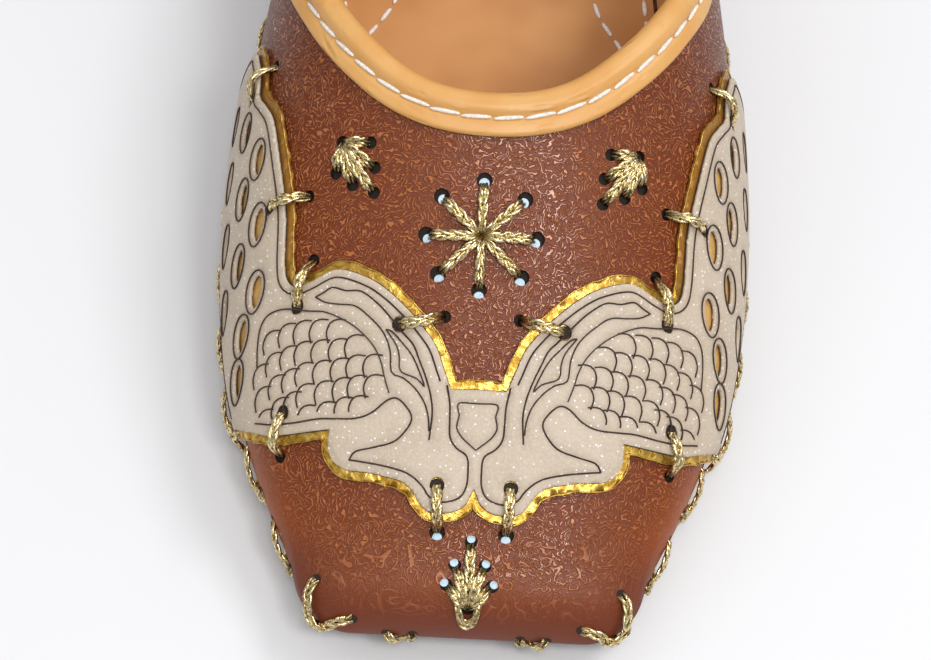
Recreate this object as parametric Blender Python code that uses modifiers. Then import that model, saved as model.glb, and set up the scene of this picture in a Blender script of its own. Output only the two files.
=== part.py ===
"""Mojari shoe: one low slip-on shoe of leather, standing empty on its sole.

The toe points to -Y, the heel to +Y, the floor is z = 0. Sizes are in millimetres here
and are turned to metres once, when a mesh is written. A station is the distance from the
toe along the shoe. The upper is one curved surface: a share of the way around the shoe
(0 at the toe's middle, 0.5 at the back seam) and a height on the wall (-1 at the bottom
edge, 0 at the widest line, 1 at the collar) give every point of it.
"""
import math
from collections import namedtuple

import bmesh
import bpy
import numpy as np
from mathutils import Vector
from mathutils.geometry import delaunay_2d_cdt

MM = 0.001

# The last: the form that the upper is drawn over
LENGTH = 250.0            # toe to back seam on the widest line
TOE_ROUND = 7.0           # rounding from the toe's front wall to its top
TOE_CORNER = 8.0          # rounding of the square toe seen from above
HEEL_ROUND = 34.0         # length of the rounded heel seen from above
HEEL_POWER = 2.2          # squareness of that rounding
HEEL_LEAN = 4.0           # how far the back seam leans forward at the collar
LEAN_START = 175.0        # station where the lean begins
LEAN_HEIGHT = 38.0        # height over the widest line where the lean is full

LastRow = namedtuple("LastRow", "station half_width belly ridge squareness tuck")
LAST = (
    LastRow(0.0, 27.4, 9.4, 16.4, 2.50, 3.2),
    LastRow(11.5, 30.4, 11.0, 20.5, 2.50, 3.0),
    LastRow(21.5, 35.0, 12.0, 25.5, 2.45, 3.0),
    LastRow(36.5, 40.6, 13.0, 33.5, 2.35, 3.0),
    LastRow(53.5, 43.6, 14.0, 43.0, 2.25, 3.0),
    LastRow(71.5, 44.9, 15.5, 53.5, 2.20, 3.4),
    LastRow(96.5, 44.0, 17.5, 66.0, 2.15, 5.0),
    LastRow(125.0, 40.6, 20.0, 77.0, 2.15, 6.6),
    LastRow(160.0, 36.8, 23.0, 85.0, 2.15, 6.2),
    LastRow(200.0, 34.4, 25.0, 91.0, 2.20, 4.6),
    LastRow(230.0, 33.4, 25.5, 94.0, 2.20, 3.8),
    LastRow(250.0, 32.4, 25.5, 94.0, 2.20, 3.6),
)

# The collar: height of the upper's top edge behind the throat. A share is taken of the
# way from the throat to the back seam.
THROAT = 75.8             # station of the throat's middle
CollarRow = namedtuple("CollarRow", "share height")
EdgeRow = namedtuple("EdgeRow", "station height")
COLLAR = (
    CollarRow(0.056, 56.3),
    CollarRow(0.113, 55.2),
    CollarRow(0.176, 52.4),
    CollarRow(0.260, 49.8),
    CollarRow(0.369, 48.6),
    CollarRow(0.541, 50.2),
    CollarRow(0.713, 54.4),
    CollarRow(0.874, 59.6),
    CollarRow(1.000, 62.0),
)

# Leather and fits
WALL = 1.6                # upper
FIT = 0.3                 # space left wherever two pieces meet
BACKING = 0.6             # gold backing
OVERLAY = 1.0             # cut leather overlay
BINDING = 1.0             # collar binding, one layer
BINDING_LEG_OUT = 5.2     # binding below the collar, outside
BINDING_LEG_IN = 5.0      # binding below the collar, inside
BINDING_ARC_STEPS = 4     # facets over the collar

# Sole
OUTSOLE = 4.0             # thickness
SOLE_MARGIN = 0.5         # how far the outsole stands out past the upper's bottom edge
SOLE_CHAMFER = 0.6
TOE_SPRING = 3.0          # lift of the sole's underside at the toe
TREAD_START = 55.0        # the flat spot of the forefoot, first and last station
TREAD_END = 115.0
HEEL_LIFT = 6.0           # height of the heel piece
HEEL_BREAST = 188.0       # station of its front face
INSOLE = 2.0              # thickness
INSOLE_CHAMFER = 0.4
STATIONS = 40             # sections of the outsole and the insole
HEEL_STATIONS = 22        # sections of the heel

# Facets of the upper
COLUMNS = 64              # around the shoe
CROWDS = ((0.105, 0.035, 3.0), (0.86, 0.06, 0.8))  # share of the half, spread, extra columns
SKIRT_ROWS = 3            # bottom edge to the widest line
DOME_ROWS = 13            # widest line to the collar
DOME_EASE = 1.35          # crowds the rows towards the widest line
FINE = 400                # samples behind the even spacing
SHARP_ANGLE = 35.0        # edges turned by more than this stay sharp when shaded

# Overlay, drawn flat for the +X half: side is the distance over the leather from the
# middle line, station as above. A sharp row is a corner, the others lie on one curve.
OutlineRow = namedtuple("OutlineRow", "side station sharp")
OVERLAY_CREST = (
    OutlineRow(0.0, 34.7, True),
    OutlineRow(4.6, 34.6, True),
    OutlineRow(5.8, 37.3, False),
    OutlineRow(7.3, 40.7, False),
    OutlineRow(9.3, 43.2, False),
    OutlineRow(12.0, 45.9, False),
    OutlineRow(15.5, 48.8, False),
    OutlineRow(19.2, 51.0, False),
    OutlineRow(24.4, 52.6, False),
    OutlineRow(28.8, 51.4, False),
)
OVERLAY_TAIL = (
    OutlineRow(31.4, 51.0, False),
    OutlineRow(33.6, 52.4, False),
    OutlineRow(34.5, 55.5, False),
    OutlineRow(35.2, 63.5, False),
    OutlineRow(37.5, 71.5, False),
    OutlineRow(40.5, 79.3, False),
    OutlineRow(43.7, 83.1, False),
    OutlineRow(46.7, 86.1, False),
    OutlineRow(47.8, 90.1, False),
    OutlineRow(50.0, 93.8, False),
    OutlineRow(54.0, 96.4, False),
)
OVERLAY_FRONT = (
    OutlineRow(38.7, 30.9, False),
    OutlineRow(34.8, 29.4, False),
    OutlineRow(30.4, 28.9, False),
    OutlineRow(24.2, 28.9, True),
    OutlineRow(24.2, 26.1, False),
    OutlineRow(23.1, 24.0, False),
    OutlineRow(20.8, 22.7, False),
    OutlineRow(17.6, 22.3, False),
    OutlineRow(14.4, 21.6, False),
    OutlineRow(12.0, 21.0, False),
)
OVERLAY_LOBE = (
    OutlineRow(10.2, 19.8, False),
    OutlineRow(8.9, 18.0, False),
    OutlineRow(7.3, 16.7, False),
    OutlineRow(4.9, 16.5, False),
    OutlineRow(2.8, 16.9, False),
    OutlineRow(1.2, 18.0, False),
    OutlineRow(0.0, 20.2, True),
)
HEM_RISE = 2.4            # the overlay's side edge, over the widest line
HEM_STATIONS = (95.5, 88.0, 80.0, 72.0, 64.0, 56.0, 48.0, 41.0, 34.5)
OUTLINE_STEP = 2.6        # longest straight run of a cut edge
BACKING_MARGIN = 1.3      # the gold backing shows this far all round
SHEET_CELL = 4.5          # squares that let a flat sheet follow the last

# Eye-shaped cut-outs of the tail: place and turn of each
EyeRow = namedtuple("EyeRow", "side station turn")
TAIL_EYES = (
    EyeRow(38.8, 53.0, 0.0),
    EyeRow(39.8, 63.3, 0.0),
    EyeRow(42.0, 74.5, 8.0),
    EyeRow(42.8, 47.2, 0.0),
    EyeRow(45.6, 59.0, 0.0),
    EyeRow(46.8, 69.8, 4.0),
    EyeRow(49.6, 81.6, 10.0),
    EyeRow(43.4, 39.6, 0.0),
    EyeRow(51.4, 53.4, 0.0),
    EyeRow(53.6, 64.2, 0.0),
    EyeRow(55.6, 75.2, 4.0),
    EyeRow(57.6, 86.2, 8.0),
)
EYE_LENGTH = 4.8
EYE_WIDTH = 3.0
EYE_POINTS = 8

# Materials: colour (linear), roughness, metallic
Finish = namedtuple("Finish", "color roughness metallic")
FINISHES = {
    "upper_leather": Finish((0.270, 0.075, 0.028), 0.42, 0.0),
    "binding_leather": Finish((0.640, 0.340, 0.120), 0.45, 0.0),
    "overlay_leather": Finish((0.640, 0.560, 0.470), 0.55, 0.0),
    "gold_foil": Finish((0.700, 0.460, 0.090), 0.30, 1.0),
    "outsole_leather": Finish((0.260, 0.130, 0.060), 0.60, 0.0),
    "heel_leather": Finish((0.200, 0.095, 0.045), 0.60, 0.0),
    "insole_leather": Finish((0.560, 0.300, 0.120), 0.50, 0.0),
}


# Curves through tables
def column(table, name, at):
    """Smooth curve through one named column of a table of rows, at the stations given."""
    places = np.array([row.station for row in table])
    values = np.array([getattr(row, name) for row in table])
    slopes = np.gradient(values, places)
    at = np.clip(np.asarray(at, float), places[0], places[-1])
    left = np.clip(np.searchsorted(places, at, side="right") - 1, 0, len(places) - 2)
    width = places[left + 1] - places[left]
    t = (at - places[left]) / width
    rise = values[left] * (2 * t**3 - 3 * t**2 + 1) + values[left + 1] * (3 * t**2 - 2 * t**3)
    bend = slopes[left] * (t**3 - 2 * t**2 + t) + slopes[left + 1] * (t**3 - t**2)
    return rise + bend * width


def ease(t):
    """Smooth step from 0 to 1."""
    t = np.clip(t, 0.0, 1.0)
    return t * t * (3.0 - 2.0 * t)


def smooth_run(rows, step):
    """Points of a run of outline rows: a curve between the sharp rows, in even steps."""
    points = [np.array((row.side, row.station)) for row in rows]
    run = []
    for i in range(len(rows) - 1):
        a, b = points[i], points[i + 1]
        before = a if rows[i].sharp or i == 0 else points[i - 1]
        after = b if rows[i + 1].sharp or i + 2 == len(rows) else points[i + 2]
        start = (b - before) / (2.0 if before is not a else 1.0)
        end = (after - a) / (2.0 if after is not b else 1.0)
        count = max(1, math.ceil(np.linalg.norm(b - a) / step))
        for k in range(count):
            t = k / count
            here = a * (2 * t**3 - 3 * t**2 + 1) + b * (3 * t**2 - 2 * t**3)
            run.append(here + start * (t**3 - 2 * t**2 + t) + end * (t**3 - t**2))
    run.append(points[-1])
    return run


# The last
def path_of(station):
    """Distance over the toe's rounding and the top, for a station behind the rounding."""
    return station - TOE_ROUND + TOE_ROUND * math.pi / 2


def station_of(path):
    """Station for a distance measured over the toe's rounding."""
    turn = np.clip(path, 0.0, TOE_ROUND * math.pi / 2) / TOE_ROUND
    rounded = TOE_ROUND * (1.0 - np.cos(turn))
    return np.where(path < TOE_ROUND * math.pi / 2, rounded, path - path_of(0.0))


def half_width(station):
    """Half the width of the widest line, with the toe's corner and the heel rounded."""
    inside = np.clip(TOE_CORNER - station, 0.0, TOE_CORNER)
    corner = np.sqrt(np.maximum(TOE_CORNER**2 - inside**2, 0.0)) - TOE_CORNER
    back = np.clip((station - (LENGTH - HEEL_ROUND)) / HEEL_ROUND, 0.0, 1.0)
    closing = np.sqrt(np.maximum(1.0 - back**HEEL_POWER, 0.0))
    return (column(LAST, "half_width", station) + corner) * closing


def dome(path, angle):
    """Point of the last above the widest line. Angle 0 is the +X side, pi/2 the ridge."""
    path, angle = np.broadcast_arrays(np.asarray(path, float), np.asarray(angle, float))
    station = station_of(path)
    belly = column(LAST, "belly", station)
    power = 2.0 / column(LAST, "squareness", station)
    front = np.sin(np.clip(path, 0.0, TOE_ROUND * math.pi / 2) / TOE_ROUND)
    height = (column(LAST, "ridge", station) - belly) * front
    across = np.sign(np.cos(angle)) * np.abs(np.cos(angle)) ** power
    x = half_width(station) * across
    z = belly + height * np.abs(np.sin(angle)) ** power
    lean = ease((station - LEAN_START) / (LENGTH - LEAN_START))
    lean = HEEL_LEAN * lean * ((z - belly) / LEAN_HEIGHT) ** 2
    return np.stack((x, station - lean, z), axis=-1)


def shares(points):
    """Share of the whole length run at each point of a line."""
    steps = np.linalg.norm(np.diff(points, axis=0), axis=1)
    run = np.concatenate(((0.0,), np.cumsum(steps)))
    return run / run[-1]


def belly_line():
    """Widest line of the +X half: share of its length, path and angle."""
    across = np.linspace(math.pi / 2, 0.0, FINE)[:-1]
    t = np.linspace(0.0, math.pi, FINE)
    along = path_of(LENGTH) * (1.0 - np.cos(t)) / 2.0
    path = np.concatenate((np.zeros(FINE - 1), along))
    angle = np.concatenate((across, np.zeros(FINE)))
    return shares(dome(path, angle)), path, angle


def collar_line():
    """Upper's top edge of the +X half: share of its length, path and angle."""
    t = np.linspace(0.0, math.pi, 2 * FINE)
    span = LENGTH - THROAT
    station = THROAT + span * (1.0 - np.cos(t)) / 2.0
    rows = [EdgeRow(THROAT, float(column(LAST, "ridge", THROAT)))]
    rows += [EdgeRow(THROAT + row.share * span, row.height) for row in COLLAR]
    height = column(rows, "height", station)
    belly = column(LAST, "belly", station)
    rise = (height - belly) / (column(LAST, "ridge", station) - belly)
    half_power = column(LAST, "squareness", station) / 2.0
    angle = np.arcsin(np.clip(rise, 0.0, 1.0) ** half_power)
    path = path_of(station)
    return shares(dome(path, angle)), path, angle


BELLY_LINE = belly_line()
COLLAR_LINE = collar_line()


def on_line(line, share):
    """Path and angle at a share of a line's length."""
    return np.interp(share, line[0], line[1]), np.interp(share, line[0], line[2])


def sole_under(station):
    """Height of the outsole's underside: toe spring, tread, arch and heel seat."""
    spring = TOE_SPRING * np.clip(1.0 - station / TREAD_START, 0.0, 1.0) ** 2
    arch = ease((station - TREAD_END) / (HEEL_BREAST - TREAD_END))
    return spring + (HEEL_LIFT + FIT) * arch


def sole_top(station):
    """Height of the outsole's top face."""
    return sole_under(station) + OUTSOLE


def belly_point(around):
    """Widest line in plan at a share of the way around, x and station."""
    half = 1.0 - np.abs(1.0 - 2.0 * (around % 1.0))
    side = np.where(around % 1.0 <= 0.5, 1.0, -1.0)
    point = dome(*on_line(BELLY_LINE, half))
    return side * point[..., 0], point[..., 1]


def plan_normal(around):
    """Outward direction of the widest line in plan."""
    step = 0.002
    x0, y0 = belly_point(around - step)
    x1, y1 = belly_point(around + step)
    length = np.hypot(x1 - x0, y1 - y0)
    return (y1 - y0) / length, (x0 - x1) / length


def wall(around, up):
    """Outer face of the upper."""
    around, up = np.broadcast_arrays(np.asarray(around, float), np.asarray(up, float))
    half = 1.0 - np.abs(1.0 - 2.0 * (around % 1.0))
    side = np.where(around % 1.0 <= 0.5, 1.0, -1.0)
    low = on_line(BELLY_LINE, half)
    high = on_line(COLLAR_LINE, half)
    rise = np.maximum(up, 0.0)
    point = dome(low[0] + rise * (high[0] - low[0]), low[1] + rise * (high[1] - low[1]))
    point[..., 0] *= side
    down = np.clip(-up, 0.0, None)
    turn = down * math.pi / 3.0
    tuck = column(LAST, "tuck", point[..., 1]) * (1.0 - np.cos(turn)) * 2.0
    drop = point[..., 2] - sole_top(point[..., 1]) - FIT
    nx, ny = plan_normal(around)
    below = up < 0.0
    point[..., 0] -= np.where(below, nx * tuck, 0.0)
    point[..., 1] -= np.where(below, ny * tuck, 0.0)
    point[..., 2] -= np.where(below, drop * np.sin(turn) / math.sin(math.pi / 3.0), 0.0)
    return point


def columns_around():
    """Places of the mesh columns: closer together at the toe's corner and the heel."""
    share = np.linspace(0.0, 1.0, FINE)
    density = np.ones(FINE)
    for middle, spread, extra in CROWDS:
        density += extra * np.exp(-(((share - middle) / spread) ** 2))
    run = np.concatenate(((0.0,), np.cumsum((density[1:] + density[:-1]) / 2.0)))
    half = np.interp(np.linspace(0.0, 1.0, COLUMNS // 2 + 1), run / run[-1], share) / 2.0
    return np.concatenate((half, 1.0 - half[-2:0:-1]))


def unit(vector):
    return vector / np.linalg.norm(vector, axis=-1, keepdims=True)


def wall_frame(around, up):
    """Outward normal of the upper and the direction up the wall, square to the run."""
    du, dv = 0.002, 0.01
    run = unit(wall(around + du, up) - wall(around - du, up))
    climb = wall(around, up + dv) - wall(around, up - dv)
    climb = unit(climb - run * np.sum(run * climb, axis=-1, keepdims=True))
    return np.cross(run, climb), climb


def at_depth(around, up, depth):
    """Point at a depth below the upper's outer face."""
    return wall(around, up) - depth * wall_frame(around, up)[0]


# Meshes
def new_material(name):
    finish = FINISHES[name]
    material = bpy.data.materials.new(name)
    material.use_nodes = True
    shader = material.node_tree.nodes["Principled BSDF"]
    shader.inputs["Base Color"].default_value = (*finish.color, 1.0)
    shader.inputs["Roughness"].default_value = finish.roughness
    shader.inputs["Metallic"].default_value = finish.metallic
    return material


def add_object(name, material, bm, collection):
    """Write a mesh built in millimetres to a named object."""
    for vert in bm.verts:
        vert.co.y -= LENGTH / 2.0
        vert.co *= MM
    mesh = bpy.data.meshes.new(name)
    bm.to_mesh(mesh)
    bm.free()
    mesh.materials.append(new_material(material))
    mesh.shade_smooth()
    mesh.set_sharp_from_angle(angle=math.radians(SHARP_ANGLE))
    obj = bpy.data.objects.new(name, mesh)
    collection.objects.link(obj)
    return obj


def add_thickness(obj, thickness, side):
    """Give an open surface its thickness: side 1 adds it outside, -1 inside."""
    solidify = obj.modifiers.new("Thickness", "SOLIDIFY")
    solidify.thickness = thickness * MM
    solidify.offset = side
    solidify.use_even_offset = True


def add_chamfer(obj, width, angle):
    """Chamfer the edges that are sharper than the angle."""
    bevel = obj.modifiers.new("Chamfer", "BEVEL")
    bevel.width = width * MM
    bevel.segments = 1
    bevel.limit_method = "ANGLE"
    bevel.angle_limit = math.radians(angle)


def add_verts(bm, points):
    return [bm.verts.new(tuple(float(c) for c in point)) for point in points]


def join_rings(bm, first, second):
    """Faces between two closed rings of as many vertices."""
    for i in range(len(first)):
        bm.faces.new((first[i - 1], first[i], second[i], second[i - 1]))


def lofted(rings, closed):
    """Surface through rings of points, the last joined to the first where it is closed."""
    bm = bmesh.new()
    loops = [add_verts(bm, ring) for ring in rings]
    for i in range(0 if closed else 1, len(loops)):
        join_rings(bm, loops[i - 1], loops[i])
    return bm


def build_upper(collection):
    around = columns_around()
    skirt = -np.linspace(1.0, 0.0, SKIRT_ROWS + 1)[:-1]
    rows = np.concatenate((skirt, np.linspace(0.0, 1.0, DOME_ROWS + 1) ** DOME_EASE))
    bm = lofted([wall(around, row) for row in rows], closed=False)
    upper = add_object("upper", "upper_leather", bm, collection)
    add_thickness(upper, WALL, -1.0)


def leg_height(around, length):
    """Wall height that lies a length below the collar, measured square to its edge."""
    heights = np.linspace(0.4, 1.0, 61)
    edge = wall(around, 1.0)
    climb = wall_frame(around, 1.0)[1]
    found = np.empty(len(around))
    for i, share in enumerate(around):
        drops = (edge[i] - wall(share, heights)) @ climb[i]
        found[i] = np.interp(-length, -drops, heights)
    return found


def binding_arc(around, radius, steps):
    """Half circles over the collar, from the outer side to the inner one."""
    normal, climb = wall_frame(around, 1.0)
    middle = wall(around, 1.0) - normal * WALL / 2.0
    turns = np.linspace(0.0, math.pi, steps + 1)
    return [middle + radius * (normal * math.cos(t) + climb * math.sin(t)) for t in turns]


def build_binding(collection):
    around = columns_around()
    low_out = leg_height(around, BINDING_LEG_OUT)
    low_in = leg_height(around, BINDING_LEG_IN)
    near = WALL / 2.0 + FIT
    far = near + BINDING
    rings = [at_depth(around, low_out, -FIT), at_depth(around, low_out, -FIT - BINDING)]
    rings += [at_depth(around, (low_out + 1.0) / 2.0, -FIT - BINDING)]
    rings += binding_arc(around, far, BINDING_ARC_STEPS)
    rings += [at_depth(around, (low_in + 1.0) / 2.0, WALL + FIT + BINDING)]
    rings += [at_depth(around, low_in, WALL + FIT + BINDING), at_depth(around, low_in, WALL + FIT)]
    rings += [at_depth(around, (low_in + 1.0) / 2.0, WALL + FIT)]
    rings += binding_arc(around, near, BINDING_ARC_STEPS // 2)[::-1]
    rings += [at_depth(around, (low_out + 1.0) / 2.0, -FIT)]
    add_object("collar_binding", "binding_leather", lofted(rings, closed=True), collection)


# Sole pieces
def sole_half(inset_past_tuck):
    """Stations and half widths of the widest line drawn in by the tuck and more."""
    around = np.linspace(0.0, 0.5, 2 * FINE)
    x, station = belly_point(around)
    nx, ny = plan_normal(around)
    inset = column(LAST, "tuck", station) + inset_past_tuck
    x = x - nx * inset
    station = station - ny * inset
    first = int(np.nonzero(station > station[0] + 0.02)[0][0]) - 1
    return station[first:], np.maximum(x[first:], 0.0)


def even_ends(first, last, count):
    """Stations crowded towards both ends."""
    t = np.linspace(0.0, 1.0, count)
    crowded = (1.0 - np.cos(math.pi * t)) / 2.0
    return first + (last - first) * (0.65 * crowded + 0.35 * t)


def add_slab(name, material, collection, half, stations, under, top, chamfer):
    """Solid with a given outline at the stations, its edges chamfered."""
    widths = np.interp(stations, half[0], half[1])
    rings = []
    for y, w in zip(stations, widths):
        low, high = float(under(y)), float(top(y))
        rings.append([(w, y, low), (w, y, high), (-w, y, high), (-w, y, low)])
    bm = lofted(rings, closed=False)
    bmesh.ops.holes_fill(bm, edges=bm.edges)
    bmesh.ops.recalc_face_normals(bm, faces=bm.faces)
    slab = add_object(name, material, bm, collection)
    add_chamfer(slab, chamfer, 60.0)


def build_sole(collection):
    half = sole_half(-SOLE_MARGIN)
    first, last = half[0][0], half[0][-1] - 0.05
    add_slab("outsole", "outsole_leather", collection, half, even_ends(first, last, STATIONS),
             sole_under, sole_top, SOLE_CHAMFER)
    seat = even_ends(HEEL_BREAST, last, HEEL_STATIONS)
    add_slab("heel", "heel_leather", collection, half, seat,
             lambda y: 0.0, lambda y: HEEL_LIFT, SOLE_CHAMFER)


def build_insole(collection):
    half = sole_half(WALL + FIT)
    stations = even_ends(half[0][0], half[0][-1] - 0.05, STATIONS)
    add_slab("insole", "insole_leather", collection, half, stations,
             lambda y: sole_top(y) + FIT, lambda y: sole_top(y) + FIT + INSOLE, INSOLE_CHAMFER)


# Sheets cut flat, then laid over the last
def girths(station, angles):
    """Distance over the section from the ridge down to each angle."""
    points = dome(path_of(station)[:, None], angles[None, :])
    steps = np.linalg.norm(np.diff(points, axis=1), axis=2)
    return np.concatenate((np.zeros((len(station), 1)), np.cumsum(steps, axis=1)), axis=1)


def over_last(side, station, lift):
    """Point above the upper for a place of the flat pattern."""
    angles = np.linspace(math.pi / 2, 0.0, 160)
    table = girths(station, angles)
    angle = np.array([np.interp(abs(s), row, angles) for s, row in zip(side, table)])
    path = path_of(station)
    step = 0.01
    along = dome(path + 0.5, angle) - dome(path - 0.5, angle)
    across = dome(path, angle + step) - dome(path, np.maximum(angle - step, 0.0))
    point = dome(path, angle) + lift * unit(np.cross(along, across))
    point[:, 0] *= np.where(side < 0.0, -1.0, 1.0)
    return point


def hem(station):
    """Side edge of the overlay: a fixed rise over the widest line."""
    angles = np.linspace(math.pi / 2, 0.0, 160)
    return float(girths(np.array([station]), angles)[0, -1]) - HEM_RISE


def overlay_outline():
    """Closed outline of the overlay, both halves."""
    sides = tuple(OutlineRow(hem(s), s, s == HEM_STATIONS[-1]) for s in HEM_STATIONS)
    rows = OVERLAY_CREST + OVERLAY_TAIL + sides + OVERLAY_FRONT + OVERLAY_LOBE
    half = smooth_run(rows, OUTLINE_STEP)
    mirrored = [np.array((-p[0], p[1])) for p in half[-2:0:-1]]
    return half + mirrored


def grown(outline, margin):
    """Outline moved outwards by a margin."""
    points = np.array(outline)
    before = unit(points - np.roll(points, 1, axis=0))
    after = unit(np.roll(points, -1, axis=0) - points)
    normal = unit(before + after)[:, ::-1] * (-1.0, 1.0)
    stretch = 1.0 / np.maximum(np.sum(normal * (before[:, ::-1] * (-1.0, 1.0)), axis=1), 0.6)
    return list(points + normal * (margin * stretch)[:, None])


def eye_outline(row, mirror):
    """Pointed oval of one tail eye, its point towards the toe."""
    turn = math.radians(row.turn)
    points = []
    for k in range(EYE_POINTS):
        t = 2.0 * math.pi * k / EYE_POINTS
        y = -math.cos(t) * EYE_LENGTH / 2.0
        x = math.sin(t) * EYE_WIDTH / 2.0 * (0.75 - 0.25 * math.cos(t))
        side = row.side + x * math.cos(turn) + y * math.sin(turn)
        points.append(np.array((mirror * side, row.station + y * math.cos(turn) - x * math.sin(turn))))
    return points


def inside(loop, points):
    """Which of the points lie inside a closed loop."""
    found = np.zeros(len(points), bool)
    for a, b in zip(np.roll(loop, 1, axis=0), loop):
        crosses = (a[1] > points[:, 1]) != (b[1] > points[:, 1])
        rise = np.where(crosses, b[1] - a[1], 1.0)
        at = a[0] + (points[:, 1] - a[1]) * (b[0] - a[0]) / rise
        found ^= crosses & (points[:, 0] < at)
    return found


def clear_of(loop, points, distance):
    """Which of the points keep a distance from every corner of a loop."""
    gaps = np.linalg.norm(points[:, None, :] - loop[None, :, :], axis=2)
    return np.min(gaps, axis=1) > distance


def flat_sheet(loops):
    """Flat mesh inside the first loop and outside the others, with points on a grid."""
    loops = [np.array(loop) for loop in loops]
    low, high = loops[0].min(axis=0), loops[0].max(axis=0)
    columns = int((high[0] - low[0]) / SHEET_CELL) + 1
    rows = int((high[1] - low[1]) / SHEET_CELL) + 1
    grid = np.array([(i, j) for i in range(columns) for j in range(rows)]) * SHEET_CELL
    grid = grid - (grid.max(axis=0) - (high - low)) / 2.0 + low
    keep = inside(loops[0], grid)
    for loop in loops:
        keep &= clear_of(loop, grid, SHEET_CELL * 0.45)
    for loop in loops[1:]:
        keep &= ~inside(loop, grid)
    places = [Vector(p) for loop in loops for p in loop] + [Vector(p) for p in grid[keep]]
    edges = []
    for loop in loops:
        start = len(edges)
        count = len(loop)
        edges += [(start + i, start + (i + 1) % count) for i in range(count)]
    found = delaunay_2d_cdt(places, edges, [], 0, 1e-4)
    middles = np.array([np.mean([found[0][i] for i in face], axis=0) for face in found[2]])
    wanted = inside(loops[0], middles)
    for loop in loops[1:]:
        wanted &= ~inside(loop, middles)
    bm = bmesh.new()
    verts = [bm.verts.new((p.x, p.y, 0.0)) for p in found[0]]
    for face, used in zip(found[2], wanted):
        if used:
            bm.faces.new([verts[i] for i in face])
    return bm


def add_sheet(name, material, collection, loops, lift, thickness):
    """Sheet of leather or foil cut to the loops and laid over the upper."""
    bm = flat_sheet(loops)
    places = np.array([v.co[:2] for v in bm.verts])
    for vert, point in zip(bm.verts, over_last(places[:, 0], places[:, 1], lift)):
        vert.co = point
    bmesh.ops.recalc_face_normals(bm, faces=bm.faces)
    sheet = add_object(name, material, bm, collection)
    add_thickness(sheet, thickness, 1.0)


def build_overlay(collection):
    outline = overlay_outline()
    eyes = [eye_outline(row, mirror) for row in TAIL_EYES for mirror in (1.0, -1.0)]
    add_sheet("gold_backing", "gold_foil", collection, [grown(outline, BACKING_MARGIN)],
              FIT, BACKING)
    add_sheet("peacock_overlay", "overlay_leather", collection, [outline] + eyes,
              FIT + BACKING + FIT, OVERLAY)


def main():
    for obj in list(bpy.data.objects):
        bpy.data.objects.remove(obj)
    collection = bpy.data.collections.new("mojari_shoe")
    bpy.context.scene.collection.children.link(collection)
    build_sole(collection)
    build_insole(collection)
    build_upper(collection)
    build_overlay(collection)
    build_binding(collection)


main()
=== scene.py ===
"""Mojari shoe: the leather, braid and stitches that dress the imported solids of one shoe.

The toe points to -Y, the heel to +Y, the floor is z = 0. Sizes are in millimetres and are
turned to metres when a mesh is written; the panel and the stage hold metres. A station is
the distance from the toe. The upper is one curved surface: a share of the way around the
shoe (0 at the toe's middle, 0.5 at the back seam) and a height on the wall (-1 bottom edge,
0 widest line, 1 collar). What is laid on the vamp is drawn flat: side is the distance over
the leather from the middle.
"""

import math
from collections import namedtuple
from itertools import product

import bmesh
import bpy
import numpy as np
from bpy.props import FloatProperty, FloatVectorProperty, IntProperty, PointerProperty
from mathutils import Matrix, Vector


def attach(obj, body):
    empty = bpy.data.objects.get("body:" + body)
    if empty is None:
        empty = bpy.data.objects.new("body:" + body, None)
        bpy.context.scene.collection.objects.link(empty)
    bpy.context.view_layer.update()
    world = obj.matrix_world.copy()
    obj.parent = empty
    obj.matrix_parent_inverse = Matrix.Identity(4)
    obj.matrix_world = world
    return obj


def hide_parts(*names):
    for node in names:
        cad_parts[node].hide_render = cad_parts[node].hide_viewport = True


bl_info = {
    "name": "Mojari shoe",
    "version": (1, 0, 0),
    "blender": (4, 5, 0),
    "location": "3D View > Sidebar > Shoe",
    "description": "Dresses the packed solids of a mojari shoe in leather, braid and thread",
    "category": "Add Mesh",
}

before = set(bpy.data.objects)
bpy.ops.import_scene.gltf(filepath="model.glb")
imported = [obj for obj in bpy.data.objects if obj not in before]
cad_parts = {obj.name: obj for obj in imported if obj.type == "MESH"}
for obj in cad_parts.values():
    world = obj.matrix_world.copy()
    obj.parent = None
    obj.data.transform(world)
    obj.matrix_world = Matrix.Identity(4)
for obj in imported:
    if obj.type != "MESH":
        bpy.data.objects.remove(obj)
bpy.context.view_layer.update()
MM = 0.001

# The last, as in the part's source
LENGTH = 250.0
TOE_ROUND = 7.0
TOE_CORNER = 8.0
HEEL_ROUND = 34.0
HEEL_POWER = 2.2
HEEL_LEAN = 4.0
LEAN_START = 175.0
LEAN_HEIGHT = 38.0
LastRow = namedtuple("LastRow", "station half_width belly ridge squareness tuck")
LAST = (
    LastRow(0.0, 27.4, 9.4, 16.4, 2.50, 3.2),
    LastRow(11.5, 30.4, 11.0, 20.5, 2.50, 3.0),
    LastRow(21.5, 35.0, 12.0, 25.5, 2.45, 3.0),
    LastRow(36.5, 40.6, 13.0, 33.5, 2.35, 3.0),
    LastRow(53.5, 43.6, 14.0, 43.0, 2.25, 3.0),
    LastRow(71.5, 44.9, 15.5, 53.5, 2.20, 3.4),
    LastRow(96.5, 44.0, 17.5, 66.0, 2.15, 5.0),
    LastRow(125.0, 40.6, 20.0, 77.0, 2.15, 6.6),
    LastRow(160.0, 36.8, 23.0, 85.0, 2.15, 6.2),
    LastRow(200.0, 34.4, 25.0, 91.0, 2.20, 4.6),
    LastRow(230.0, 33.4, 25.5, 94.0, 2.20, 3.8),
    LastRow(250.0, 32.4, 25.5, 94.0, 2.20, 3.6),
)
THROAT = 75.8
CollarRow = namedtuple("CollarRow", "share height")
EdgeRow = namedtuple("EdgeRow", "station height")
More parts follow.
